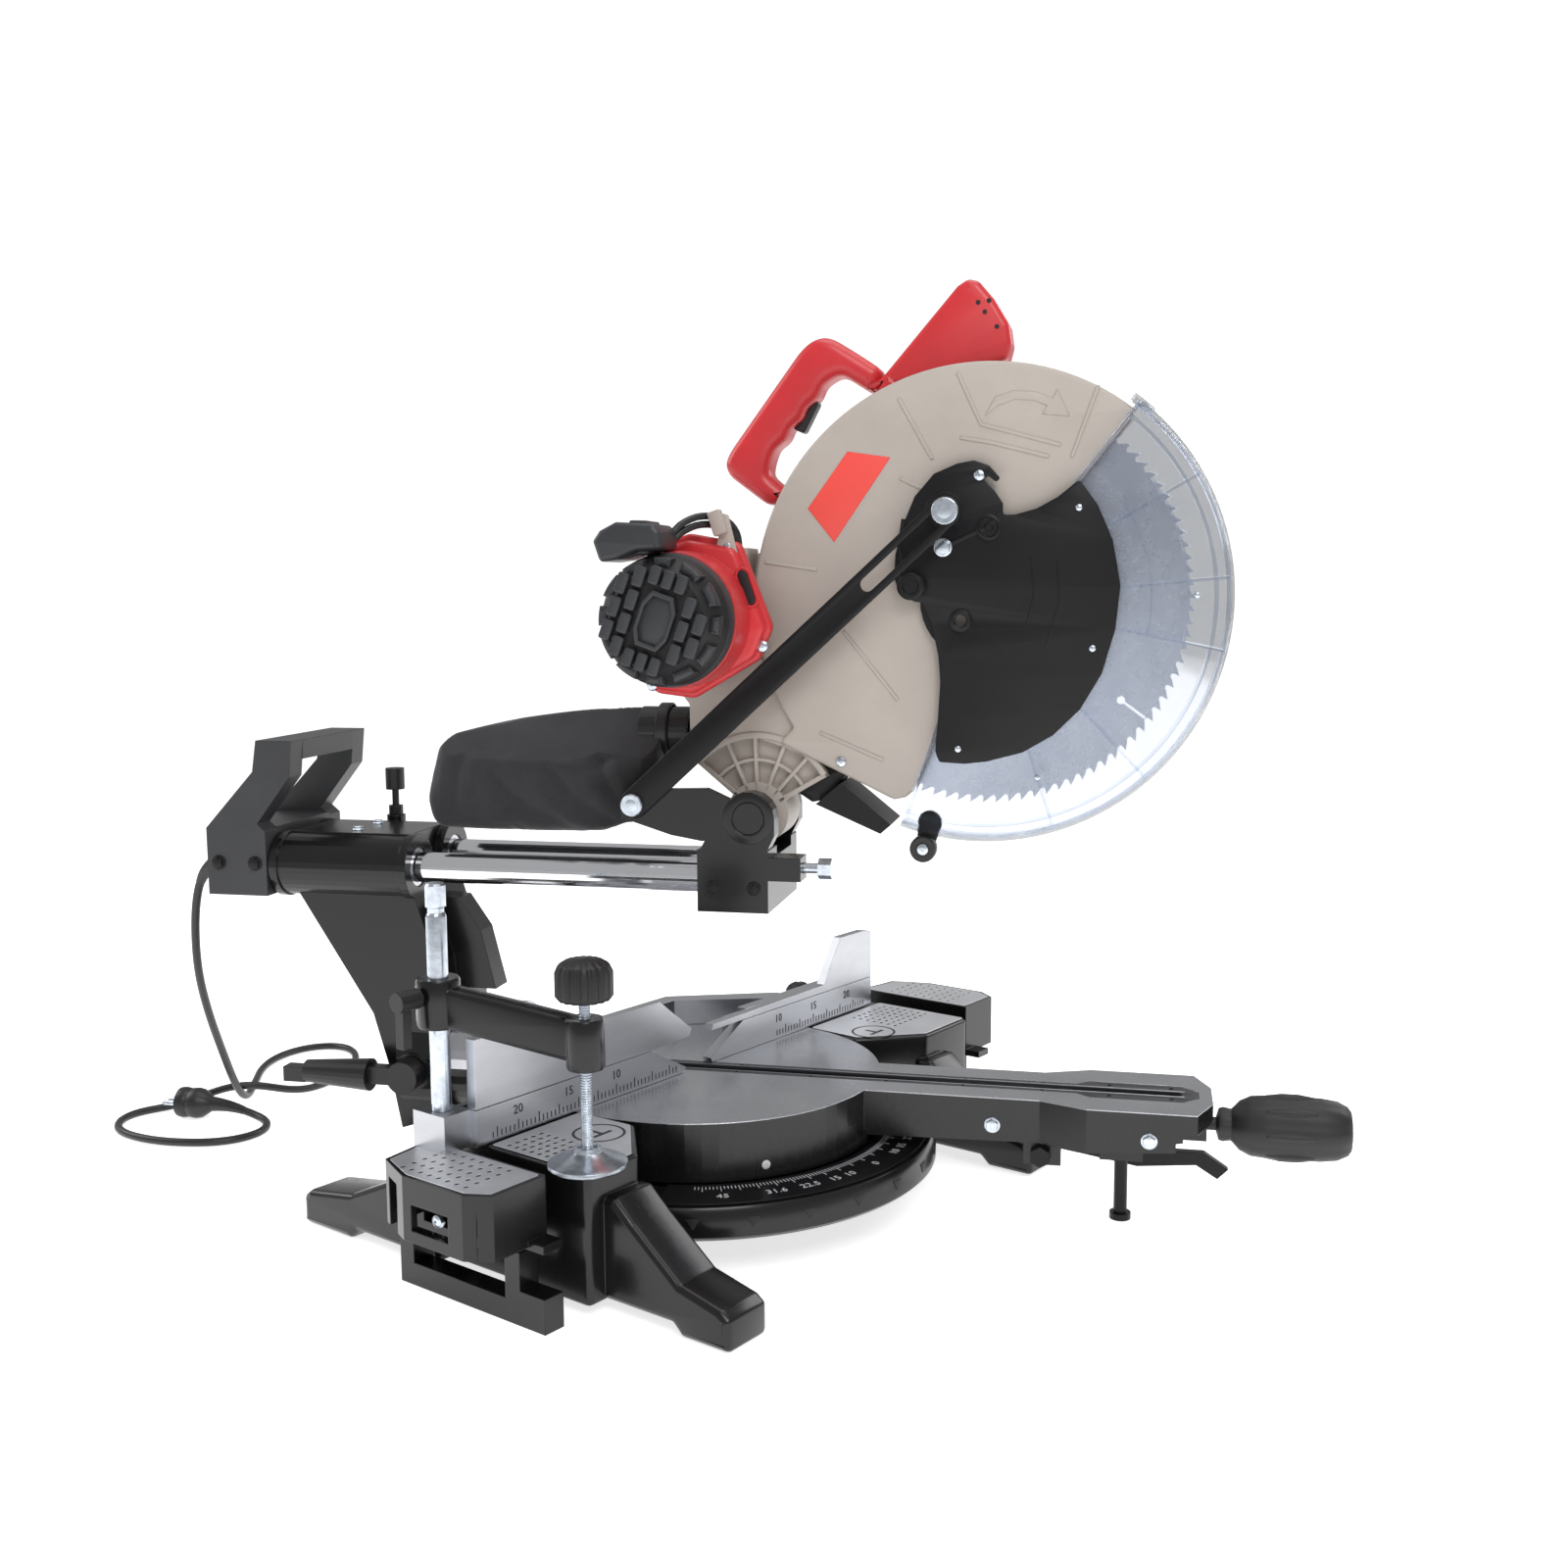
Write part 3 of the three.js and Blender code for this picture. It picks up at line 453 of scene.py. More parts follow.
def piece(name, body, shells, paint, place=ARM, replaces=(), sharp=32):
    """Joins shells into one mesh in the row frame, which rides on a body. Its material slot holds its paint."""
    mesh = bpy.data.meshes.new(name)
    points, faces = [], []
    for shell_points, shell_faces in shells:
        faces += [tuple(i + len(points) for i in f) for f in shell_faces]
        points += [place @ p for p in shell_points]
    mesh.from_pydata(points, [], faces)
    build = bmesh.new()
    build.from_mesh(mesh)
    bmesh.ops.remove_doubles(build, verts=build.verts, dist=1e-6)
    bmesh.ops.recalc_face_normals(build, faces=build.faces)
    build.to_mesh(mesh)
    build.free()
    mesh.polygons.foreach_set("use_smooth", [True] * len(mesh.polygons))
    mesh.set_sharp_from_angle(angle=radians(sharp))
    mesh.materials.append(paint)
    obj = bpy.data.objects.new(name, mesh)
    SCENE.collection.objects.link(obj)
    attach(obj, body)
    if replaces:
        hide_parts(*replaces)
    return obj


def finish_node(name, paint):
    """A CAD node keeps its shape and takes a finish."""
    for material_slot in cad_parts[name].material_slots:
        material_slot.material = paint


def dome(r, h, place, base=0.0):
    """A pan-head screw."""
    return lathe([(0, base), (r, base), (r, base + h * 0.35), (r * 0.85, base + h * 0.75),
                  (r * 0.5, base + h * 0.96),
                  (r * 0.2, base + h), (r * 0.16, base + h * 0.6), (0, base + h * 0.6)], place, 20)


def hexagon(r, h, place, base=0.0):
    """A hexagon bolt head with its turned face and flange."""
    head = slab([(r * cos(k * pi / 3), r * sin(k * pi / 3)) for k in range(6)], base, base + h, 0.5)
    washer = lathe([(0, base), (r * 1.2, base), (r * 1.2, base + h * 0.22), (r, base + h * 0.3),
                    (0, base + h * 0.3)], FLAT, 24)
    return moved((head[0] + washer[0], head[1] + [tuple(i + len(head[0]) for i in f) for f in washer[1]]),
                 place)


# ---- camera, light, floor ----
def studio():
    yaw, pitch, roll = radians(37.47), radians(-6.86), radians(-0.34)
    ahead = Vector((cos(yaw) * cos(pitch), sin(yaw) * cos(pitch), sin(pitch)))
    right = ahead.cross(Vector((0, 0, 1))).normalized()
    over = right.cross(ahead)
    right, over = cos(roll) * right + sin(roll) * over, cos(roll) * over - sin(roll) * right
    data = bpy.data.cameras.new("camera")
    data.lens, data.sensor_width, data.clip_start, data.clip_end = 36.99, 36, 0.02, 60
    camera = bpy.data.objects.new("camera", data)
    camera.matrix_world = Matrix((right, over, -ahead)).transposed().to_4x4()
    camera.location = BASE @ Vector((-957.5, -818.0, 478.9))
    SCENE.collection.objects.link(camera)
    SCENE.camera = camera

    world = bpy.data.worlds.new("studio")
    world.use_nodes = True
    background = world.node_tree.nodes["Background"]
    ray = world.node_tree.nodes.new("ShaderNodeLightPath")
    strength = world.node_tree.nodes.new("ShaderNodeMapRange")
    strength.inputs["To Min"].default_value, strength.inputs["To Max"].default_value = 0.42, 1.1
    world.node_tree.links.new(ray.outputs["Is Camera Ray"], strength.inputs["Value"])
    world.node_tree.links.new(strength.outputs["Result"], background.inputs["Strength"])
    background.inputs["Color"].default_value = (1, 1, 1, 1)
    SCENE.world = world
    SCENE.view_settings.view_transform = "Standard"

    for name, at, size, power, aim in (
        ("key", (-1.3, -1.5, 2.0), 1.1, 24, (0, 0, 0.3)),
        ("top", (0.2, -0.2, 2.4), 1.6, 18, (0, 0, 0.2)),
        ("side", (1.8, -0.6, 1.2), 1.0, 10, (0, 0, 0.3)),
        ("back", (-0.8, 1.9, 1.4), 1.2, 16, (0, 0, 0.3)),
    ):
        light = bpy.data.lights.new(name, "AREA")
        light.size, light.energy = size, power
        lamp = bpy.data.objects.new(name, light)
        lamp.location = at
        lamp.rotation_euler = (Vector(aim) - Vector(at)).to_track_quat("-Z", "Y").to_euler()
        SCENE.collection.objects.link(lamp)

    floor = bpy.data.meshes.new("floor")
    floor.from_pydata([(-9, -9, 0), (9, -9, 0), (9, 9, 0), (-9, 9, 0)], [], [(0, 1, 2, 3)])
    paper = surface("floor_paper", (0.9, 0.9, 0.9), 0.8, vary=0.01, grain=60, bump=0.02, edge=0.0)
    glow = paper.node_tree.nodes["Principled BSDF"]
    glow.inputs["Emission Color"].default_value = (1, 1, 1, 1)
    glow.inputs["Emission Strength"].default_value = 0.72
    floor.materials.append(paper)
    ground = bpy.data.objects.new("floor", floor)
    SCENE.collection.objects.link(ground)


studio()

# ---- mains cord ----
CORD_R = 3.5
DROP = [(-395, -46, 262), (-405, -45.5, 259), (-414, -43, 248), (-422, -39, 222), (-428, -32, 192),
        (-436, -17, 158),
        (-447, 12, 117), (-459, 47, 76), (-471, 84, 34), (-478, 108, 11), (-484, 128, 3.7)]
FLOOR_ROUTE = [(-498, 165), (-518, 210), (-524, 255), (-508, 292), (-476, 300), (-448, 276), (-432, 236),
               (-428, 190), (-440, 150),
               (-470, 118), (-508, 101), (-540, 84), (-561, 52), (-548, 16), (-512, -1), (-470, -4),
               (-432, 7), (-413, 37),
               (-428, 67), (-458, 73)]
PLUG = (-486, 72)  # where the cord enters the plug, s and t


def smooth_path(points, step=4.0):
    """Points about step apart on one smooth curve through the given ones."""
    out = []
    for i in range(len(points) - 1):
        a, b, c, d = (Vector(points[max(0, min(len(points) - 1, i + k))]) for k in (-1, 0, 1, 2))
        count = max(2, round((c - b).length / step))
        for k in range(count):
            f = k / count
            out.append(0.5 * ((2 * b) + (c - a) * f + (2 * a - 5 * b + 4 * c - d) * f * f
                              + (3 * b - a - 3 * c + d) * f ** 3))
    return out + [Vector(points[-1])]


def lay_down(path, floor_from):
    """Lifts the later turns of a floor route over the earlier ones in long low humps."""
    gap, reach = 2 * CORD_R + 0.5, 62.0
    for i in range(floor_from, len(path)):
        lift = 0.0
        for j in range(0, i - 12):
            d = hypot(path[i].x - path[j].x, path[i].y - path[j].y)
            if d < reach and path[j].z < 14:
                f = min(1, max(0, (reach - d) / (reach - gap)))
                lift = max(lift, (path[j].z - CORD_R + gap) * f * f * (3 - 2 * f))
        path[i].z = CORD_R + 0.2 + lift
    return path


def mains_cord():
    points = smooth_path(DROP) + smooth_path([(*p, CORD_R) for p in [DROP[-1][:2], *FLOOR_ROUTE, PLUG]])[1:]
    path = lay_down(points, len(smooth_path(DROP)))
    for _ in range(30):
        middle = [(path[i - 1] + 2 * path[i] + path[i + 1]) / 4 for i in range(1, len(path) - 1)]
        path[1:-1] = [Vector((*m.xy, max(m.z, CORD_R + 0.2))) for m in middle]
    end = path[-1].z
    for back in range(12):  # the lead rises gently into the plug
        f = 1 - back / 12
        path[-1 - back].z += (14.2 - end) * f * f * (3 - 2 * f)
    world = [arm_point(*p) for p in path]
    curve = bpy.data.curves.new("mains_cord", "CURVE")
    curve.dimensions, curve.use_fill_caps = "3D", True
    curve.bevel_depth, curve.bevel_resolution = CORD_R * 0.001, 4
    spline = curve.splines.new("POLY")
    spline.points.add(len(world) - 1)
    for point, at in zip(spline.points, world):
        point.co = (*at, 1)
    curve.materials.append(RUBBER)
    obj = bpy.data.objects.new("mains_cord", curve)
    SCENE.collection.objects.link(obj)
    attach(obj, "carriage")
    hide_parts("cord", "cord_coil")
    return obj, world, sum((b - a).length for a, b in zip(world, world[1:]))


cord, cord_path, cord_length = mains_cord()
body_line = [(0, -486), (6, -486), (8.5, -489), (13, -496), (14, -501), (13.4, -506), (12.2, -508),
             (13.4, -510), (14, -514), (13.4, -518),
             (0, -518)]
pins = [lathe([(0, -517), (2.3, -517), (2.3, -532), (1.4, -534), (0, -534)], along(t, 14.2),
              16) for t in (67, 77)]
plug = piece("mains_plug", "carriage", [lathe(body_line, along(72, 14.2), 40)], RUBBER,
             replaces=["cord_plug"])
plug_pins = piece("plug_pins", "carriage", pins, ZINC)
relief = [0.0068 - 0.00038 * i for i in range(9)]  # both ends of the lead leave through a tapered sleeve
piece("bracket_sleeve", "carriage", [sweep(cord_path[:9], relief)], RUBBER, Matrix.Identity(4))
piece("plug_sleeve", "carriage", [sweep(cord_path[:-10:-1], relief)], RUBBER, Matrix.Identity(4))

# ---- carried-over castings ----
for paint, names in {
    TABLE_TOP: "turntable",
    BLACK: "bevel_arm pivot_bracket side_support_left side_support_right pivot_pin",
    GREY: "rear_bracket",
    CHROME: "rail_left rail_right",
    STEEL: "rail_bush_left rail_bush_right miter_pointer return_spring motor_armature arbor "
           "outer_flange",
    SATIN_BLACK: "miter_scale detent_lever tip_leg chip_deflector",
    ALU: "fence_casting upper_fence_left upper_fence_right",
    BLACK_PLASTIC: "clamp_lock_screw bevel_lock_lever rail_lock_screw lock_off_button dust_port",
    ZINC: "depth_stop_screw link_low_bolt link_top_bolt arbor_bolt turntable_bolt",
    BEIGE: "drive_cover",
    RUBBER: "drive_belt",
}.items():
    for node_name in names.split():
        finish_node(node_name, paint)

# ---- head: guard casting ----
def guard_outline():
    rim = arc(BLADE, GUARD_R, 51, 214, 64)
    foot = [(70, 364), (158, 322), (167, 324), (173, 329), (187, 363)]
    hub = arc(BLADE, 40, 250, 408, 12)
    return rim + foot + hub


def raised(lines, t, width=2.6, height=0.9):
    """Narrow raised beads on the guard's face."""
    return [side(ribbon(line, width), t - height, t + 0.3, 0.5) for line in lines]


def guard_casting():
    outline = rounded(guard_outline(), 3, 2)
    shells = [side(outline, -24, -19, 3.0, steps=3), side(outline, 20, 24, 1.5)]
    shells.append(side(band(BLADE, GUARD_R - 4, GUARD_R, 51.5, 213, 60), -22, 22, 0))
    shells.append(side(ribbon([(74, 365), (156, 325), (166, 327)], 4), -22, 22, 0.5))
    shells.append(side(stadium(MOTOR, BLADE, 44, 50), 23, 30, 1))
    shells.append(lathe([(24, 8), (24, 30), (12.4, 30), (12.4, 8)], across(*BLADE, way=1)))
    shells += raised([[(204, 634), (221, 597), (278, 581)], [(161, 617), (186, 573)],
                      [(304, 622), (286, 572)],
                      [(206, 588), (228, 584), (270, 573)], [(120, 448), (161, 397)],
                      [(60, 500), (100, 494)], [(162, 560), (184, 549)], [(102, 372), (150, 352)]], -24)
    arrow = [(224, 603), (233, 610), (245, 614), (258, 613), (268, 609), (265, 603), (284, 601), (275, 620),
             (272, 614),
             (259, 619), (244, 620), (231, 616)]
    shells.append(side(arrow, -24.8, -23.5, 0.5))
    return shells


def pivot_web():
    """The ribbed foot of the casting, with its pockets, over the chop hinge."""
    pocket = band(PIVOT, 20, 62, 28, 142, 20)
    shells = [side(pocket, -13, 24, 1)]
    shells.append(side(ribbon(arc(PIVOT, 60, 30, 140, 20), 5), -21, -10, 1.2))
    shells.append(side(ribbon(arc(PIVOT, 41, 30, 140, 16), 3), -19, -10, 1))
    for a in (30, 48, 68, 92, 114, 140):
        ends = [polar(PIVOT, r, a) for r in (19, 61)]
        shells.append(side(ribbon(ends, 4 if a in (30, 140) else 3), -20, -10, 1))
    shells.append(lathe([(24, -20), (24, 24), (8.4, 24), (8.4, -20)], across(*PIVOT, way=1)))
    back = [(-2, 362), (-2, 392), (-24, 420), (-30, 470), (-2, 500)]
    foot = [(128, 345), (100, 350), (52, 366)]
    shells.append(side(rounded(back + [(60, 510), (120, 440)] + foot, 8), 14.5, 29, 3))
    shells.append(side(rounded(back + arc(BLADE, 181, 167, 190, 10) + [(75, 440)] + foot, 5, 2), -19, 16, 2))
    shells.append(lathe([(34, 0), (34, 42), (20, 43), (0, 43)], across(*MOTOR)))
    return shells


piece("guard_casting", "head", guard_casting() + pivot_web(), BEIGE, replaces=["head_casting"])
piece("guard_decal", "head", [side([(123, 580), (155, 575), (113, 514), (93, 539)], -24.5, -23.8, 0.2)],
      DECAL)
piece("guard_screw", "head", [dome(4, 2.4, across(118, 350, -24))], ZINC)

piece("deflector_arm", "head",
      [side(rounded([(76, 328), (98, 352), (124, 345), (106, 320), (93, 317)], 3), -12, 22, 2)], SATIN_BLACK)

# ---- head: grip ----
def finger_grip():
    """The D-shaped grip: outer line, then the finger side with its four waves."""
    outer = [(124, 656), (105, 668), (96, 671), (86, 668), (77, 660), (22, 587), (17, 577), (20, 568),
             (52, 544), (76, 548)]
    inner = [(62, 560), (52, 568), (54, 576)]
    start, end = Vector((54, 578)), Vector((104, 640))
    way = (end - start)
    normal = Vector((way.y, -way.x)).normalized()
    waves = [tuple(start + way * f + normal * (-3.0 * sin(pi * 4 * f) ** 2))
             for f in (i / 32 for i in range(33))]
    line = outer + inner + waves + [(110, 642), (135, 626), (142, 644)]
    even = []
    for a, b in zip(line, line[1:] + line[:1]):
        count = max(1, round(hypot(b[0] - a[0], b[1] - a[1]) / 3))
        even += [(a[0] + (b[0] - a[0]) * k / count, a[1] + (b[1] - a[1]) * k / count) for k in range(count)]
    for _ in range(3):
        even = [((even[i - 1][0] + 2 * p[0] + even[(i + 1) % len(even)][0]) / 4,
                 (even[i - 1][1] + 2 * p[1] + even[(i + 1) % len(even)][1]) / 4) for i, p in enumerate(even)]
    return even


GRIP_BLOCK = [(126, 628), (143, 640), (198, 703), (206, 708), (214, 706), (226, 692), (237, 674), (239, 660),
              (236, 648), (212, 642),
              (170, 634)]
shells = [side(finger_grip(), 19, 53, 8.5, steps=4, blur=5),
          side(rounded(GRIP_BLOCK, 6), 18, 54, 5, steps=3),
          side(rounded([(134, 622), (146, 640), (160, 628), (148, 610)], 3), 16, 56, 3)]
piece("grip", "head", shells, RED, replaces=["handle"])
# Dark discs on the grip stand for the shade inside its screw holes: painted shade.
piece("grip_screw_holes_painted_shade", "head", [lathe([(0, 0), (1.8, 0), (1.8, 0.6), (0, 0.6)], across(s, z, 18.4), 12)
                                   for s, z in ((214, 690), (219, 683), (222, 691), (228, 672))], PAINTED_SHADE)

line = rounded([(70, 603), (84, 628), (91, 622), (79, 599)], 3)
piece("trigger_paddle", "trigger", [side(line, 31, 45, 2, steps=3)], BLACK_PLASTIC, replaces=["trigger"])

# ---- head: motor ----
FLANGE = [(-20, 403), (12, 399), (62, 428), (72, 452), (48, 514), (10, 521), (-18, 512), (-36, 470)]
shells = [side(rounded(FLANGE, 9), -54, -44.3, 2.5, steps=3),
          side(rounded([(s * 0.93 + 1, z * 0.93 + 31.5) for s, z in FLANGE], 9), -62, -52, 4, steps=3),
          lathe([(49, 52), (50, 70), (49, 92), (48.5, 98), (44, 99), (0, 99)], across(*MOTOR), 56)]
piece("motor_shell", "head", shells, RED, replaces=["motor_housing"])
# The dark stadium inside the window rim is painted shade for the opening.
piece("motor_window", "head", [side(stadium((58, 472), (52, 490), 3.6, 3.6, 8), -63, -61.6, 0.4)], PAINTED_SHADE)
piece("motor_window_rim", "head", [side(stadium((58, 472), (52, 490), 6, 6, 10), -63.2, -61, 0.6,
                                        holes=[stadium((58, 472), (52, 490), 4, 4, 10)])], RED)
piece("motor_screws", "head",
      [dome(4.6, 3.4, across(s, z, -54)) for s, z in ((39, 511), (65, 438), (-20, 409))], ZINC)

CAP_FACE, CAP_BED = -141, -134  # the bars stand on the cap between these two planes
TILT = (Matrix.Translation((0, -MOTOR[0], MOTOR[1])) @ Matrix.Rotation(radians(20), 4, "X")
        @ Matrix.Translation((0, MOTOR[0], -MOTOR[1])))


def on_cap(u, v):
    return MOTOR[0] + u, MOTOR[1] + v


def brick(u, v, half_u, half_v):
    outline = rect(*(MOTOR[0] + u + k for k in (-half_u, half_u)),
                   *(MOTOR[1] + v + k for k in (-half_v, half_v)))
    return side(rounded(outline, 2), CAP_FACE, CAP_BED, 1.2)


def cap_bricks():
    """Rows of raised bars with slots between them, round a badge recess with cut corners."""
    shells = []
    for column, u in enumerate((-31, -20.5, 20.5, 31)):
        for row in range(-2, 3):
            v = row * 17 + (8.5 if column % 2 else 0)
            if hypot(u, v) < 37:
                shells.append(brick(u, v, 4.1, 7.3))
    for u in (-10, 0, 10):
        shells += [brick(u, v, 3.9, 6.5) for v in (30, -30)]
    badge = [on_cap(*p) for p in ((-8, 20), (8, 20), (13, 10), (13, -10), (8, -20), (-8, -20), (-13, -10),
                                  (-13, 10))]
    well = [on_cap(*p) for p in ((-6, 16.5), (6, 16.5), (10, 8), (10, -8), (6, -16.5), (-6, -16.5), (-10, -8),
                                 (-10, 8))]
    shells.append(side(badge, CAP_FACE, CAP_BED, 1.2, holes=[well]))
    shells.append(side(well, CAP_BED - 3.5, CAP_BED, 0.3))
    return shells


# The cap body is near-black: the cap's own black, and painted shade where it shows in the slots between the
# bars.
shells = [lathe([(47, 98.3), (47.5, 106), (46, 116), (40, 127), (34, 134), (0, 135)], across(*MOTOR), 56)]
piece("motor_cap", "head", shells, PAINTED_SHADE, replaces=["motor_end_cap"])
shells = [moved(s, TILT) for s in cap_bricks()]
shells += [lathe([(47.2, 98.3), (48, 104), (47.6, 110), (44, 118.5), (40.5, 122.5), (40.5, 98.3)],
                 across(*MOTOR), 56)]
for k in range(12):
    a = 15 + 30 * k
    span = 11.5 if k % 3 else 9
    wedge = band((0, 0), 37, 44.5, a - span, a + span, 6)
    shells.append(moved(side([on_cap(*p) for p in wedge], -131, -118, 3), TILT))
piece("motor_cap_ribs", "head", shells, GREY_PLASTIC)

BOX_SIDE = [(-36, 499), (-41, 514), (-36, 521), (-24, 527), (4, 525.5), (9, 520), (9, 507), (-8, 506.5),
            (-22, 501)]
piece("switch_cover", "head", [side(rounded(BOX_SIDE, 4), -127, -81, 4, steps=3),
                               side(rounded([(-14, 504), (-16, 528.4), (-2, 528), (-1, 504)], 2), -120, -88,
                                    2)],
      GREY_PLASTIC, replaces=["switch_box"])

# ---- head: leads from the switch box ----
LEAD = [(4, -84, 515), (10, -79, 523), (19, -68, 529), (28, -54, 530), (35, -39, 527), (39, -27, 519),
        (39, -19, 508), (38, -15, 495)]


def motor_lead(name, shift):
    route = smooth_path([(s, t, z + shift) for s, t, z in LEAD], 5)
    shell = sweep([(p.y, -p.x, p.z) for p in route], 2.6, 14)
    obj = piece(name, "head", [shell], RUBBER)


motor_lead("motor_lead_upper", 3.0)
motor_lead("motor_lead_lower", -3.0)
piece("lead_grommet", "head", [side(stadium((38, 500), (37, 493), 5, 5), -20.6, -13, 1.2)], RUBBER)
piece("lead_clip", "head",
      [turned(side(rounded(rect(28, 38, 519, 537), 1.5), -64, -56, 1), (-60, -33, 528), -18),
                            side(rounded([(30, 505), (36, 535), (40, 534), (47, 505)], 1), -57, -54.5, 0.5)],
      BEIGE)

# ---- lower guard ----
CARRIER = [(292, 556), (305, 538), (316, 513), (322, 481), (319, 450), (310, 418), (295, 392), (276, 373),
           (254, 360), (228, 353),
           (212, 351), (193, 352), (190, 360), (192, 385), (193.5, 411), (192, 430), (187, 453), (180, 469),
           (174, 470), (163, 476),
           (159, 488), (160, 504), (164, 522), (174, 546), (188, 562), (205, 569), (217, 571), (228, 567),
           (236, 558), (233, 555),
           (227, 560), (224, 557), (232, 549), (238, 540), (238, 532), (247, 532), (262, 536), (277, 544)]
shells = [side(rounded(CARRIER, 3, 3), -33, -30, 0.7, holes=[arc((208, 456), 4.4, 0, 337.5, 15)]),
          lathe([(45, -30.2), (45, -24.6), (40, -24.6), (40, -30.2)], across(*BLADE, way=1)),
          lathe([(8, 32.5), (8, 35), (5.5, 35.6), (4.4, 35), (4.4, 32.5)], across(208, 456), 28),
          lathe([(9, 32.5), (9, 35), (7.4, 35.4), (6.8, 33.8), (3, 33.8), (2.6, 35), (0, 35)],
                across(228, 523), 28),
          lathe([(10, 32.5), (10, 38), (8.5, 39), (6, 39), (5.4, 37.6), (0, 37.6)], across(172, 481), 32),
          lathe([(13, 32.5), (12.4, 36), (0, 36)], across(195, 536), 32),
          side(ribbon([(201, 512), (228, 524), (236, 533)], 3.2), -34.2, -32.5, 0.5),
          side(ribbon([(166, 530), (163, 508), (167, 490)], 3), -34.2, -32.5, 0.5),
          side(ribbon([(258, 502), (261, 476), (256, 452)], 0.8), -33.3, -32.8, 0.1),
          side(ribbon([(277, 500), (279, 470), (270, 437)], 0.8), -33.3, -32.8, 0.1)]
piece("carrier_plate", "lower_guard", shells, SATIN_BLACK, replaces=["guard_carrier"])
shells = [dome(2.6, 1.6, across(s, z, -33)) for s, z in ((292, 536), (303, 436), (207, 362))]
shells += [dome(4.2, 3, across(221, 560, -33)), hexagon(5.6, 4.6, across(195, 509, -33))]
piece("carrier_screws", "lower_guard", shells, ZINC)

START, STOP = -109.5, 52  # clear guard, degrees about the blade centre
shells = [side(band(BLADE, 96, 175, START, STOP, 60), -29.4, -27.6, 0.4),
          side(band(BLADE, 175.6, 178, START, STOP, 72), -29.6, 12, 0.5),
          side(band(BLADE, 164, 167, START, STOP, 60), -30.2, -29, 0.4),
          side(band(BLADE, 172.6, 176, START, STOP, 60), -31.2, -28.6, 1.0),
          side(band(BLADE, 174.6, 179.6, STOP - 4, STOP + 1.5, 4), -29.4, -8, 0.6)]
for a in (START + 0.8, -72, -47, -12, 5, 30, STOP - 0.8):
    ends = [polar(BLADE, r, a) for r in (98, 175)]
    shells.append(side(ribbon(ends, 2.4), -30.8, -29, 0.5))
for r, half in ((120, 4), (146, 6)):
    shells.append(side(band(BLADE, r, r + 1.2, -8 - half, 30 + half, 24), -30, -29, 0.3))
piece("clear_lower_guard", "lower_guard", shells, CLEAR, replaces=["clear_guard"])
rim_screws = [polar(BLADE, r, a) for a, r in ((1, 152), (-72, 136))]
piece("clear_guard_screws", "lower_guard", [dome(2.2, 1.2, across(s, z, -29.8)) for s, z in rim_screws], ZINC)

ROLLER = (180, 285)
piece("roller_lug", "lower_guard", [side(stadium((184, 304), ROLLER, 9, 6.5), -12, -7, 1)], SATIN_BLACK)
shells = [lathe([(3.4, 13), (9, 13), (10, 14.5), (10, 23.5), (9, 25), (5, 25), (4.6, 23.6), (3.4, 23.6)],
                across(*ROLLER), 36)]
piece("roller_tyre", "guard_roller", shells, RUBBER, replaces=["guard_roller"])
piece("roller_axle", "guard_roller",
      [lathe([(0, 4), (3, 4), (3, 24), (4.2, 24), (4.2, 25.4), (2.4, 26), (1, 26), (0.9, 25), (0, 25)],
                                            across(*ROLLER), 24)], ZINC)

# ---- blade ----
def tooth_line(teeth=100):
    """Hooked teeth that cut forward and down at the front, a gullet behind each, and four expansion slots."""
    line, root = [], 147.4
    step = 360 / teeth
    for k in range(teeth):
        a = -k * step
        for f, r in ((0.0, root), (0.10, root - 0.9), (0.30, root - 0.6), (0.52, root + 1.4),
                     (0.95, BLADE_R - 0.7), (1.0, BLADE_R - 0.1),
                     (0.985, root + 1)):
            line.append(polar(BLADE, r, a - f * step))
        if k % 25 == 9:
            for f, r in ((1.04, root - 1), (1.04, 128), (0.75, 126), (0.8, 123.4), (1.16, 122), (1.5, 123.4),
                         (1.55, 126), (1.26, 128),
                         (1.26, root - 1)):
                line.append(polar(BLADE, r, a - f * step))
    return line


shells = [side(tooth_line()[::-1], -1.3, 1.3, 0.15, holes=[arc(BLADE, 12.4, 0, 345, 23)], steps=1)]
piece("toothed_blade", "blade", shells, STEEL, replaces=["saw_blade"])

# ---- guard link ----
way = Vector((LINK_TOP[0] - LINK_LOW[0], LINK_TOP[1] - LINK_LOW[1])).normalized()
slot_low = (LINK_TOP[0] - 76 * way.x, LINK_TOP[1] - 76 * way.y)
shells = [side(stadium(LINK_LOW, LINK_TOP, 11, 11, 16), -56, -52.6, 0.9,
               holes=[stadium(slot_low, LINK_TOP, 5.2, 5.2, 10)])]
piece("link_bar", "guard_link", shells, SATIN_BLACK, replaces=["guard_link"])
for name, body, at, r in (("link_low_head", "carriage", LINK_LOW, 8.8),
                          ("link_top_head", "link_bolt", LINK_TOP, 10)):
    profile = [(0, 56.2), (r, 56.2), (r, 58.4), (r * 0.93, 59.6), (r * 0.7, 60.2), (r * 0.62, 60.9),
               (r * 0.3, 61.3), (0, 61.3)]
    piece(name, body, [lathe(profile, across(*at), 36)], ZINC)

# ---- base ----
ACROSS_X = Matrix(((0, 0, 1, 0), (1, 0, 0, 0), (0, 1, 0, 0), (0, 0, 0, 1)))  # u = y, v = z, w = x
PLATE_Z = 99.9  # thin machined plates lie on the castings' tops


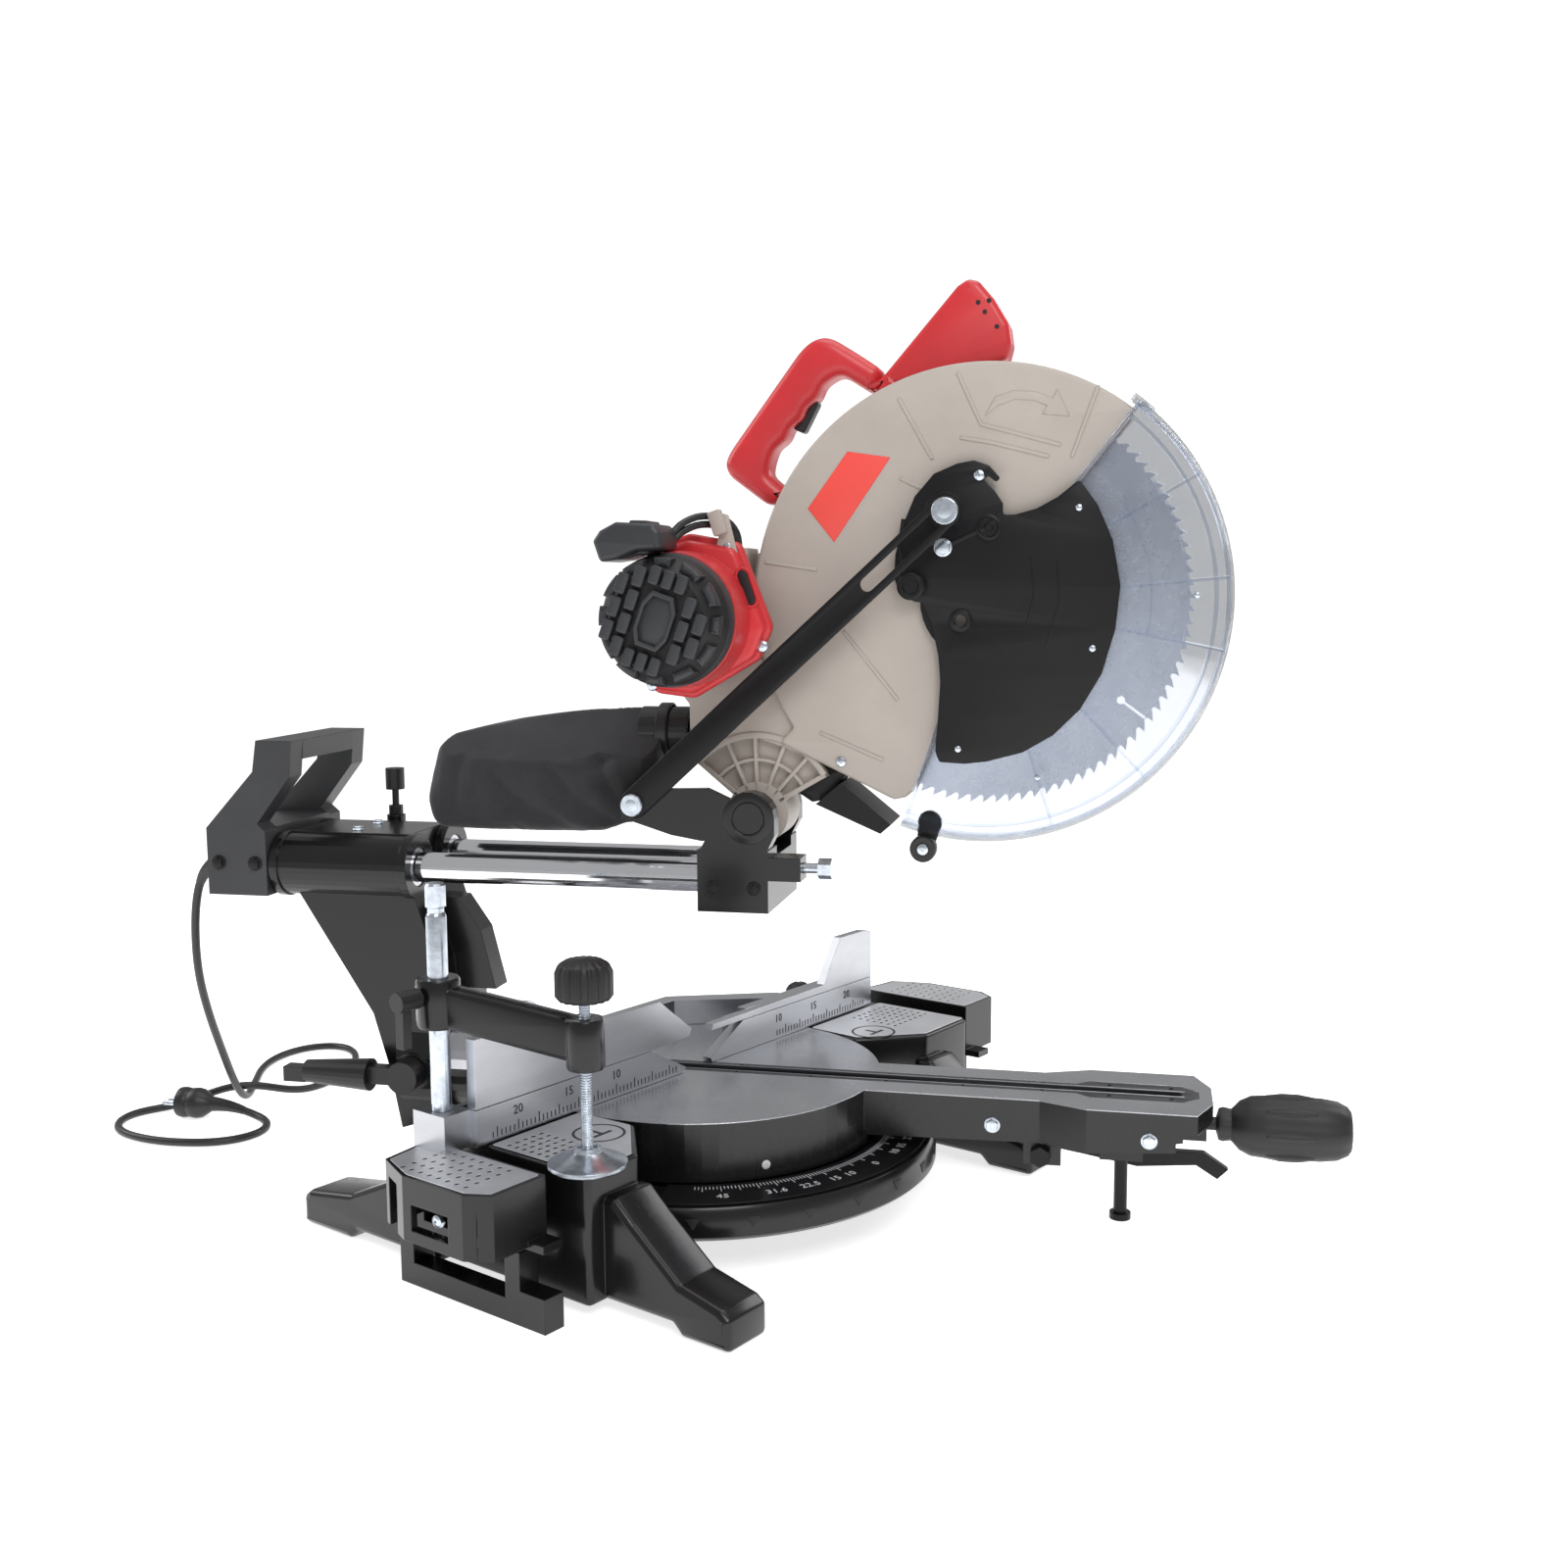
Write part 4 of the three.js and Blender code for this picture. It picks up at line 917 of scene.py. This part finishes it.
def foot_shell(k, outer, y0, y1, y_body):
    """A splayed foot: a deep root, a long slope and a flat pad at the end."""
    d = 1 if y1 > y0 else -1
    a, b = (-outer, 41 - outer) if k < 0 else (outer - 41, outer)
    line = [(y_body, 8), (y0 + 4 * d, 8), (y0 + 12 * d, 0.4), (y1, 0.4), (y1, 22), (y1 - 7 * d, 27),
            (y0 + 10 * d, 35),
            (y_body + 30 * d, 66), (y_body + 14 * d, 80), (y_body, 80)]
    return slab(rounded(line, 4, 3), a, b, 5, lay=ACROSS_X, steps=3)


def base_shells():
    shells = [lathe([(176, 30), (184, 30), (187, 33), (187, 50), (184.5, 54), (146, 54), (143.3, 53.4),
                     (143.3, 51), (176, 46)], FLAT, 120),
              lathe([(144, 50), (144, 44), (20, 44), (20, 34), (8.4, 34), (8.4, 50.8), (144, 50.8)], FLAT,
                    72)]
    for k, x, inner in ((-1, -230, -181), (1, 250, 184)):
        outline = [(x, -96), (inner, -96), (137 * k, -53), (146 * k, -14), (146 * k, 14), (138 * k, 48),
                   (x, 48)]
        shells.append(slab(rounded(outline, 5), 8, 99.5, 2.5, steps=3))
    for outer, y0, y1, y_body in ((215, -150, -202, -90), (241, 130, 197, 40)):
        shells += [foot_shell(k, outer, y0, y1, y_body) for k in (-1, 1)]
    return shells


piece("base_shell", "base", base_shells(), BLACK, BASE, replaces=["base_casting"])
# Dark triangles on the ring's rim and dark discs on the feet stand for the shade in hollows and holes:
# painted shade.
dark = [moved(slab([(-5, 0), (5, 0), (0, -8)], 0, 0.6, 0.1, lay=FRONT),
              Matrix.Rotation(radians(a), 4, "Z") @ up(0, -187.4, 47))
        for a in range(-52, 60, 13)]
dark += [lathe([(0, 24.6), (4, 24.6), (4, 25.2), (0, 25.2)], up(x, y), 20)
         for x, y in ((-194, -190), (194, -190), (-220, 180), (220, 180))]
piece("base_hollows_painted_shade", "base", dark, PAINTED_SHADE, BASE)


def slot_rows(x0, x1, y0, y1, nx, ny, length=7, width=2.6):
    """Columns of short slots, which run left and right."""
    return [stadium((x0 + (x1 - x0) * i / max(nx - 1, 1) - length / 2 + width,
                     y0 + (y1 - y0) * j / max(ny - 1, 1)),
                    (x0 + (x1 - x0) * i / max(nx - 1, 1) + length / 2 - width,
                     y0 + (y1 - y0) * j / max(ny - 1, 1)),
                    width / 2, width / 2, 4) for i in range(nx) for j in range(ny)]


def top_plate(outline, slots):
    return slab(rounded(outline, 3), PLATE_Z, PLATE_Z + 0.35, 0.1, holes=slots, steps=1)


WING_LEFT = [(-228.5, -93), (-184, -93), (-141, -52), (-143, -3), (-228.5, -3)]
WING_RIGHT = [(248.5, -93), (186, -93), (141, -52), (143, -3), (248.5, -3)]
plates = [top_plate(WING_LEFT, slot_rows(-222, -192, -58, -14, 5, 7)),
          top_plate(WING_RIGHT, slot_rows(192, 240, -58, -14, 7, 7))]
MARKS = ((-167, -46), (164, -54))  # round signs on the wings
marks = [lathe([(17, PLATE_Z + 0.3), (19, PLATE_Z + 0.3), (19, PLATE_Z + 0.42), (17, PLATE_Z + 0.42)],
               up(x, y), 36)
         for x, y in MARKS]
marks += [slab([(-9, -5), (9, -5), (9, -2), (1.5, -2), (1.5, 8), (-1.5, 8), (-1.5, -2), (-9, -2)], 0, 0.12, 0,
               lay=up(x, y, PLATE_Z + 0.3))
          for x, y in MARKS]
piece("wing_plates", "base", plates, PLATE, BASE)
piece("wing_marks", "base", marks, INK, BASE)

for name, body, k, inner, outer in (("left", "side_support_left", -1, 247, 304),
                                    ("right", "side_support_right", 1, 283, 340)):
    outline = [(k * (inner + 2), -72), (k * (outer - 12), -72), (k * (outer - 3), -57), (k * (outer - 3), -1),
               (k * (outer - 15), 31),
               (k * (inner + 2), 37)]
    slots = slot_rows(k * (inner + 9), k * (outer - 11), -50, 12, 5, 8)
    piece("support_plate_" + name, body, [top_plate(outline, slots)], PLATE, BASE)
    at = Matrix.Translation((k * (outer - 9), -26, 73)) @ Matrix.Rotation(k * pi / 2, 4, "Y")
    piece("support_screw_" + name, body, [dome(5, 4, at)], ZINC, BASE)

# ---- miter scale ----
SCALE_Z = 55.6
ticks, figures = [], []
for m in range(-52, 53):
    turn = Matrix.Rotation(radians(m), 4, "Z")
    long_tick = m % 5 == 0
    ticks.append(moved(slab(rect(-0.35, 0.35, -158 if long_tick else -154, -149), SCALE_Z, SCALE_Z + 0.25, 0),
                       turn))
for m in (0, 10, 15, 22.5, 31.6, 45):
    for way in (1, -1) if m else (1,):
        text = f"{m:g}"
        figures.append(lettering(text, 9.5,
                                 Matrix.Rotation(radians(way * m), 4, "Z") @ up(0, -168, SCALE_Z + 0.2)))
piece("scale_ticks", "base", ticks + figures, WHITE_INK, BASE)

# ---- fence scales ----
ticks, figures = [], []
for k, first, last in ((-1, 32, 228), (1, 98, 228)):
    for x in range(first, last, 4):
        height = 7.5 if x % 5 == 0 or x % 20 == 0 else 4.5
        ticks.append(slab(rect(k * x - 0.35, k * x + 0.35, 103, 103 + height), -0.25, 0.2, 0, lay=FRONT))
    for x, text in ((100, "10"), (150, "15"), (200, "20")):
        figures.append(lettering(text, 9.5, up(k * x, -0.1, 117.5) @ FRONT))
piece("fence_scales", "base", ticks + figures, INK, BASE)
piece("fence_screws", "base", [dome(5, 3, up(x, 34, 108)) for x in (-200, 200)], ZINC, BASE)
half = 12.4
for name, x in (("left", -176), ("right", 171)):
    wings = [(-half, -4), (-half, 5), (-8, 8), (0, 6), (8, 8), (half, 5), (half, -4), (7, -7), (-7, -7)]
    shells = [slab(rounded(wings, 3), 29, 38, 2.5, lay=up(x, 0, 121) @ FRONT, steps=3),
              lathe([(3, -17.4), (3, -28), (8.5, -28), (9, -36), (7, -40), (0, -40)],
                    up(x, 0, 121) @ Matrix.Rotation(pi / 2, 4, "X"))]
    piece("wing_knob_" + name, "fence_knob_" + name, shells, BLACK_PLASTIC, BASE,
          replaces=["fence_knob_" + name])

# ---- clamp ----
POST, SCREW = (-250, 22), (-219, -86)
piece("fluted_knob", "clamp_screw",
      [lathe([(9, 213.4), (17, 213.4), (19.3, 216), (19.3, 232), (17, 237), (12, 240), (0, 240.6)],
                                           up(*SCREW), 80, 16, 0.09)], BLACK_PLASTIC, BASE,
      replaces=["clamp_knob"])
heading = atan2(SCREW[1] - POST[1], SCREW[0] - POST[0])
along_arm = up(*POST) @ Matrix.Rotation(heading, 4, "Z")
reach = hypot(SCREW[0] - POST[0], SCREW[1] - POST[1])
shells = [slab(rounded([(-14, 187), (-14, 216), (14, 213), (reach, 200), (reach, 171), (20, 184)], 3), -9, 9,
               3.5,
               lay=along_arm @ FRONT, steps=3),
          lathe([(7.3, 185), (14, 185), (15, 187), (15, 217), (14, 219), (7.3, 219)], up(*POST), 36),
          lathe([(4.4, 167), (12, 167), (13, 169), (13, 199), (12, 201), (4.4, 201)], up(*SCREW), 36)]
piece("clamp_bar", "clamp_arm", shells, BLACK, BASE, replaces=["clamp_arm"])
profile = [(0, 100.4), (26, 100.4), (27, 101.6), (26.6, 103.4), (22, 105.6), (15, 108), (10, 111), (9, 113.6),
           (6.4, 113.6), (6.4, 106),
           (0, 106)]
piece("domed_pad", "clamp_pad", [lathe(profile, up(*SCREW), 48)], ZINC, BASE, replaces=["clamp_pad"])
thread = [(0, 106.4), (5.8, 106.4), (5.8, 112)]
for i in range(62):
    z = 112.5 + i * 1.75
    thread += [(3.4, z), (4.0, z + 0.5), (4.0, z + 0.9), (3.4, z + 1.4)]
piece("threaded_screw", "clamp_screw", [lathe(thread + [(3.4, 222), (0, 222)], up(*SCREW), 20)], ZINC, BASE,
      replaces=["clamp_screw"])
profile = [(0, 104.5), (6.6, 104.5), (7, 106), (7, 261), (6.4, 263), (5.6, 264), (5.6, 267), (7, 268),
           (7, 282.6), (6, 284), (0, 284)]
piece("stepped_post", "clamp_post", [lathe(profile, up(*POST), 32)], ZINC, BASE, replaces=["clamp_post"])

# ---- table ----
plate = [(-118, -12), (296, -12), (306, -20), (374, -20), (386, -8), (386, 8), (374, 20), (306, 20),
         (296, 12), (-118, 12)]
plan_lay = Matrix(((0, 1, 0, 0), (-1, 0, 0, 0), (0, 0, 1, 0), (0, 0, 0, 1)))  # u = s, v = t
holes = [stadium((-101, 0), (369, 0), 5.2, 5.2,
                 8)] + [arc((s, t), 1.5, 0, 315, 7) for s in range(-90, 300, 60) for t in (-9.2, 9.2)]
holes += [arc((s, t), 2, 0, 315, 7) for s in (320, 366) for t in (-13, 13)]
piece("kerf_insert", "table", [slab(rounded(plate, 3), 97.2, 99.9, 0.4, holes=holes, lay=plan_lay)],
      GREY_PLASTIC,
      replaces=["kerf_plate"])
piece("kerf_edges", "table",
      [slab(ribbon([(-112, t), (376, t)], 0.9), 99.6, 100.25, 0.1, lay=plan_lay) for t in (-6.3, 6.3)],
      ALU)
piece("disc_screw", "table",
      [dome(3.4, 1,
            Matrix.Rotation(radians(-146), 4, "Z") @ up(DISC_R, 0, 66) @ Matrix.Rotation(pi / 2, 4, "Y"))],
      WHITE_INK)
piece("arm_bolts", "table",
      [hexagon(5, 4, across(s, 79, t, way)) for s, t, way in ((235, -36, -1), (350, -50, -1), (350, 50, 1))],
      ZINC)
profile = [(5, 396), (5, 399), (12, 401), (13, 404), (12, 410), (14, 412), (18.5, 416), (22.5, 424),
           (24, 440), (23.6, 474),
           (22, 486), (18.5, 493), (15, 495.5), (0, 495.5)]
shells = [lathe([(0, 290), (7, 290), (7, 298), (5, 300), (5, 400), (0, 400)], along(0, 79), 28),
          lathe(profile, along(0, 79), 64, 8, 0.035)]
shells += [moved(lathe([(0, -18), (1.5, -17), (3.2, -6), (3.2, 6), (1.5, 17), (0, 18)], FLAT, 12),
                 along(0, 79, 452) @ Matrix.Rotation(k * pi / 4, 4, "Z") @ up(22.9, 0)) for k in range(8)]
piece("lock_grip", "miter_lock_handle", shells, GRIP, replaces=["miter_lock_handle"])

# ---- bracket details ----
piece("housing_bolts", "bevel_arm", [hexagon(4, 3, up(t, 284, 287)) for t in (-18, 18)], ZINC)
piece("hinge_cap", "carriage",
      [lathe([(12.4, 51.6), (19.6, 51.6), (19.6, 52.2), (19, 52.4), (13, 52.4)], across(*PIVOT), 48)], BLACK)
piece("bracket_screws", "carriage", [hexagon(5, 3.4, across(s, 264, -62)) for s in (-384, -352)] +
      [hexagon(4.5, 3, across(s, 256, -52)) for s in (24, 56)], SATIN_BLACK)


# ---- dust bag ----
BAG = [(-207, 296), (-213, 318), (-202, 358), (-192, 368), (-140, 376), (-70, 382), (-26, 388), (-24, 346),
       (-42, 303), (-70, 297),
       (-150, 295)]
BAG_FLOOR = 291.5  # it clears the rail housing when the carriage is pushed back
BAG_SLOPE = 387  # its upper left edge lies over in a slope, where z is t plus this


def dust_bag():
    body = piece("dust_bag_cloth", "head", [side(rounded(BAG, 9, 5), -35, 33, 11, steps=4)], CLOTH,
                 replaces=["dust_bag"],
                 sharp=180)
    bpy.context.view_layer.objects.active = body
    remesh = body.modifiers.new("remesh", "REMESH")
    remesh.mode, remesh.voxel_size = "VOXEL", 0.0055
    apply_all(body)
    rest = [v.co.copy() for v in body.data.vertices]
    pin = body.vertex_groups.new(name="pin")
    for v in body.data.vertices:
        s = -(ARM.inverted() @ v.co).y
        pin.add([v.index], 1.0 if s > -34 else 0.0, "REPLACE")
    cloth = body.modifiers.new("cloth", "CLOTH")
    cloth.settings.quality, cloth.settings.mass = 5, 0.2
    cloth.settings.use_pressure, cloth.settings.uniform_pressure_force = True, 0.9
    cloth.settings.effector_weights.gravity = 0
    cloth.settings.vertex_group_mass = "pin"
    cloth.settings.shrink_min = -0.07
    cloth.settings.bending_stiffness = 0.3
    cloth.point_cache.frame_start, cloth.point_cache.frame_end = 1, 20
    for number in range(1, 21):
        SCENE.frame_set(number)
    apply_all(body)
    for v, at in zip(body.data.vertices, rest):
        move = v.co - at
        v.co = at + move * min(1, 0.006 / max(move.length, 1e-9))
    SCENE.frame_set(1)
    soften = body.modifiers.new("smooth", "SUBSURF")
    soften.levels = soften.render_levels = 1
    apply_all(body)
    sagging_folds(body)
    body.data.polygons.foreach_set("use_smooth", [True] * len(body.data.polygons))


def apply_all(obj):
    mesh = bpy.data.meshes.new_from_object(obj.evaluated_get(bpy.context.evaluated_depsgraph_get()))
    old = obj.data
    obj.modifiers.clear()
    obj.data = mesh
    bpy.data.meshes.remove(old)
    mesh.materials.clear()
    mesh.materials.append(CLOTH)


FOLDS = [((-60, 300), (-118, 352), 9, 3.2), ((-96, 296), (-160, 340), 8, 2.6),
         ((-40, 350), (-150, 366), 7, 2.2),
         ((-34, 372), (-112, 330), 8, 2.4), ((-190, 310), (-176, 362), 7, 2.4),
         ((-54, 316), (-74, 376), 7, 2.8)]


def sagging_folds(body):
    """Long shallow creases that run from the bag's neck and corners."""
    back = ARM.inverted()
    for v in body.data.vertices:
        at = back @ v.co
        here = Vector((-at.y, at.z))
        push = 0.0
        for a, b, width, depth in FOLDS:
            a, b = Vector(a), Vector(b)
            f = min(1, max(0, (here - a).dot(b - a) / (b - a).length_squared))
            middle = a + (b - a) * f + Vector((-(b - a).y, (b - a).x)).normalized() * 5 * sin(pi * f)
            d = (here - middle).length / width
            if d < 2.4:
                crease = -cos(d * pi) * 0.5 - 0.5 if d < 1 else 0.35 * sin((d - 1) / 1.4 * pi)
                push += depth * (1 - abs(2 * f - 1) ** 2 * 0.6) * crease
        outward = -1 if at.x < -1 else 1
        fade = min(1, abs(at.x + 1) / 24)
        at.x += outward * push * fade
        over = at.z - at.x - BAG_SLOPE
        if over > 0:
            at += Vector((over / 2, 0, -over / 2))
        at.z = max(at.z, BAG_FLOOR)
        v.co = ARM @ at
    body.data.update()


dust_bag()
piece("bag_collar", "head", [lathe([(20.5, 20), (22, 21), (22, 29), (20.5, 30)], along(0, 370, -50), 40)],
      BLACK_PLASTIC)
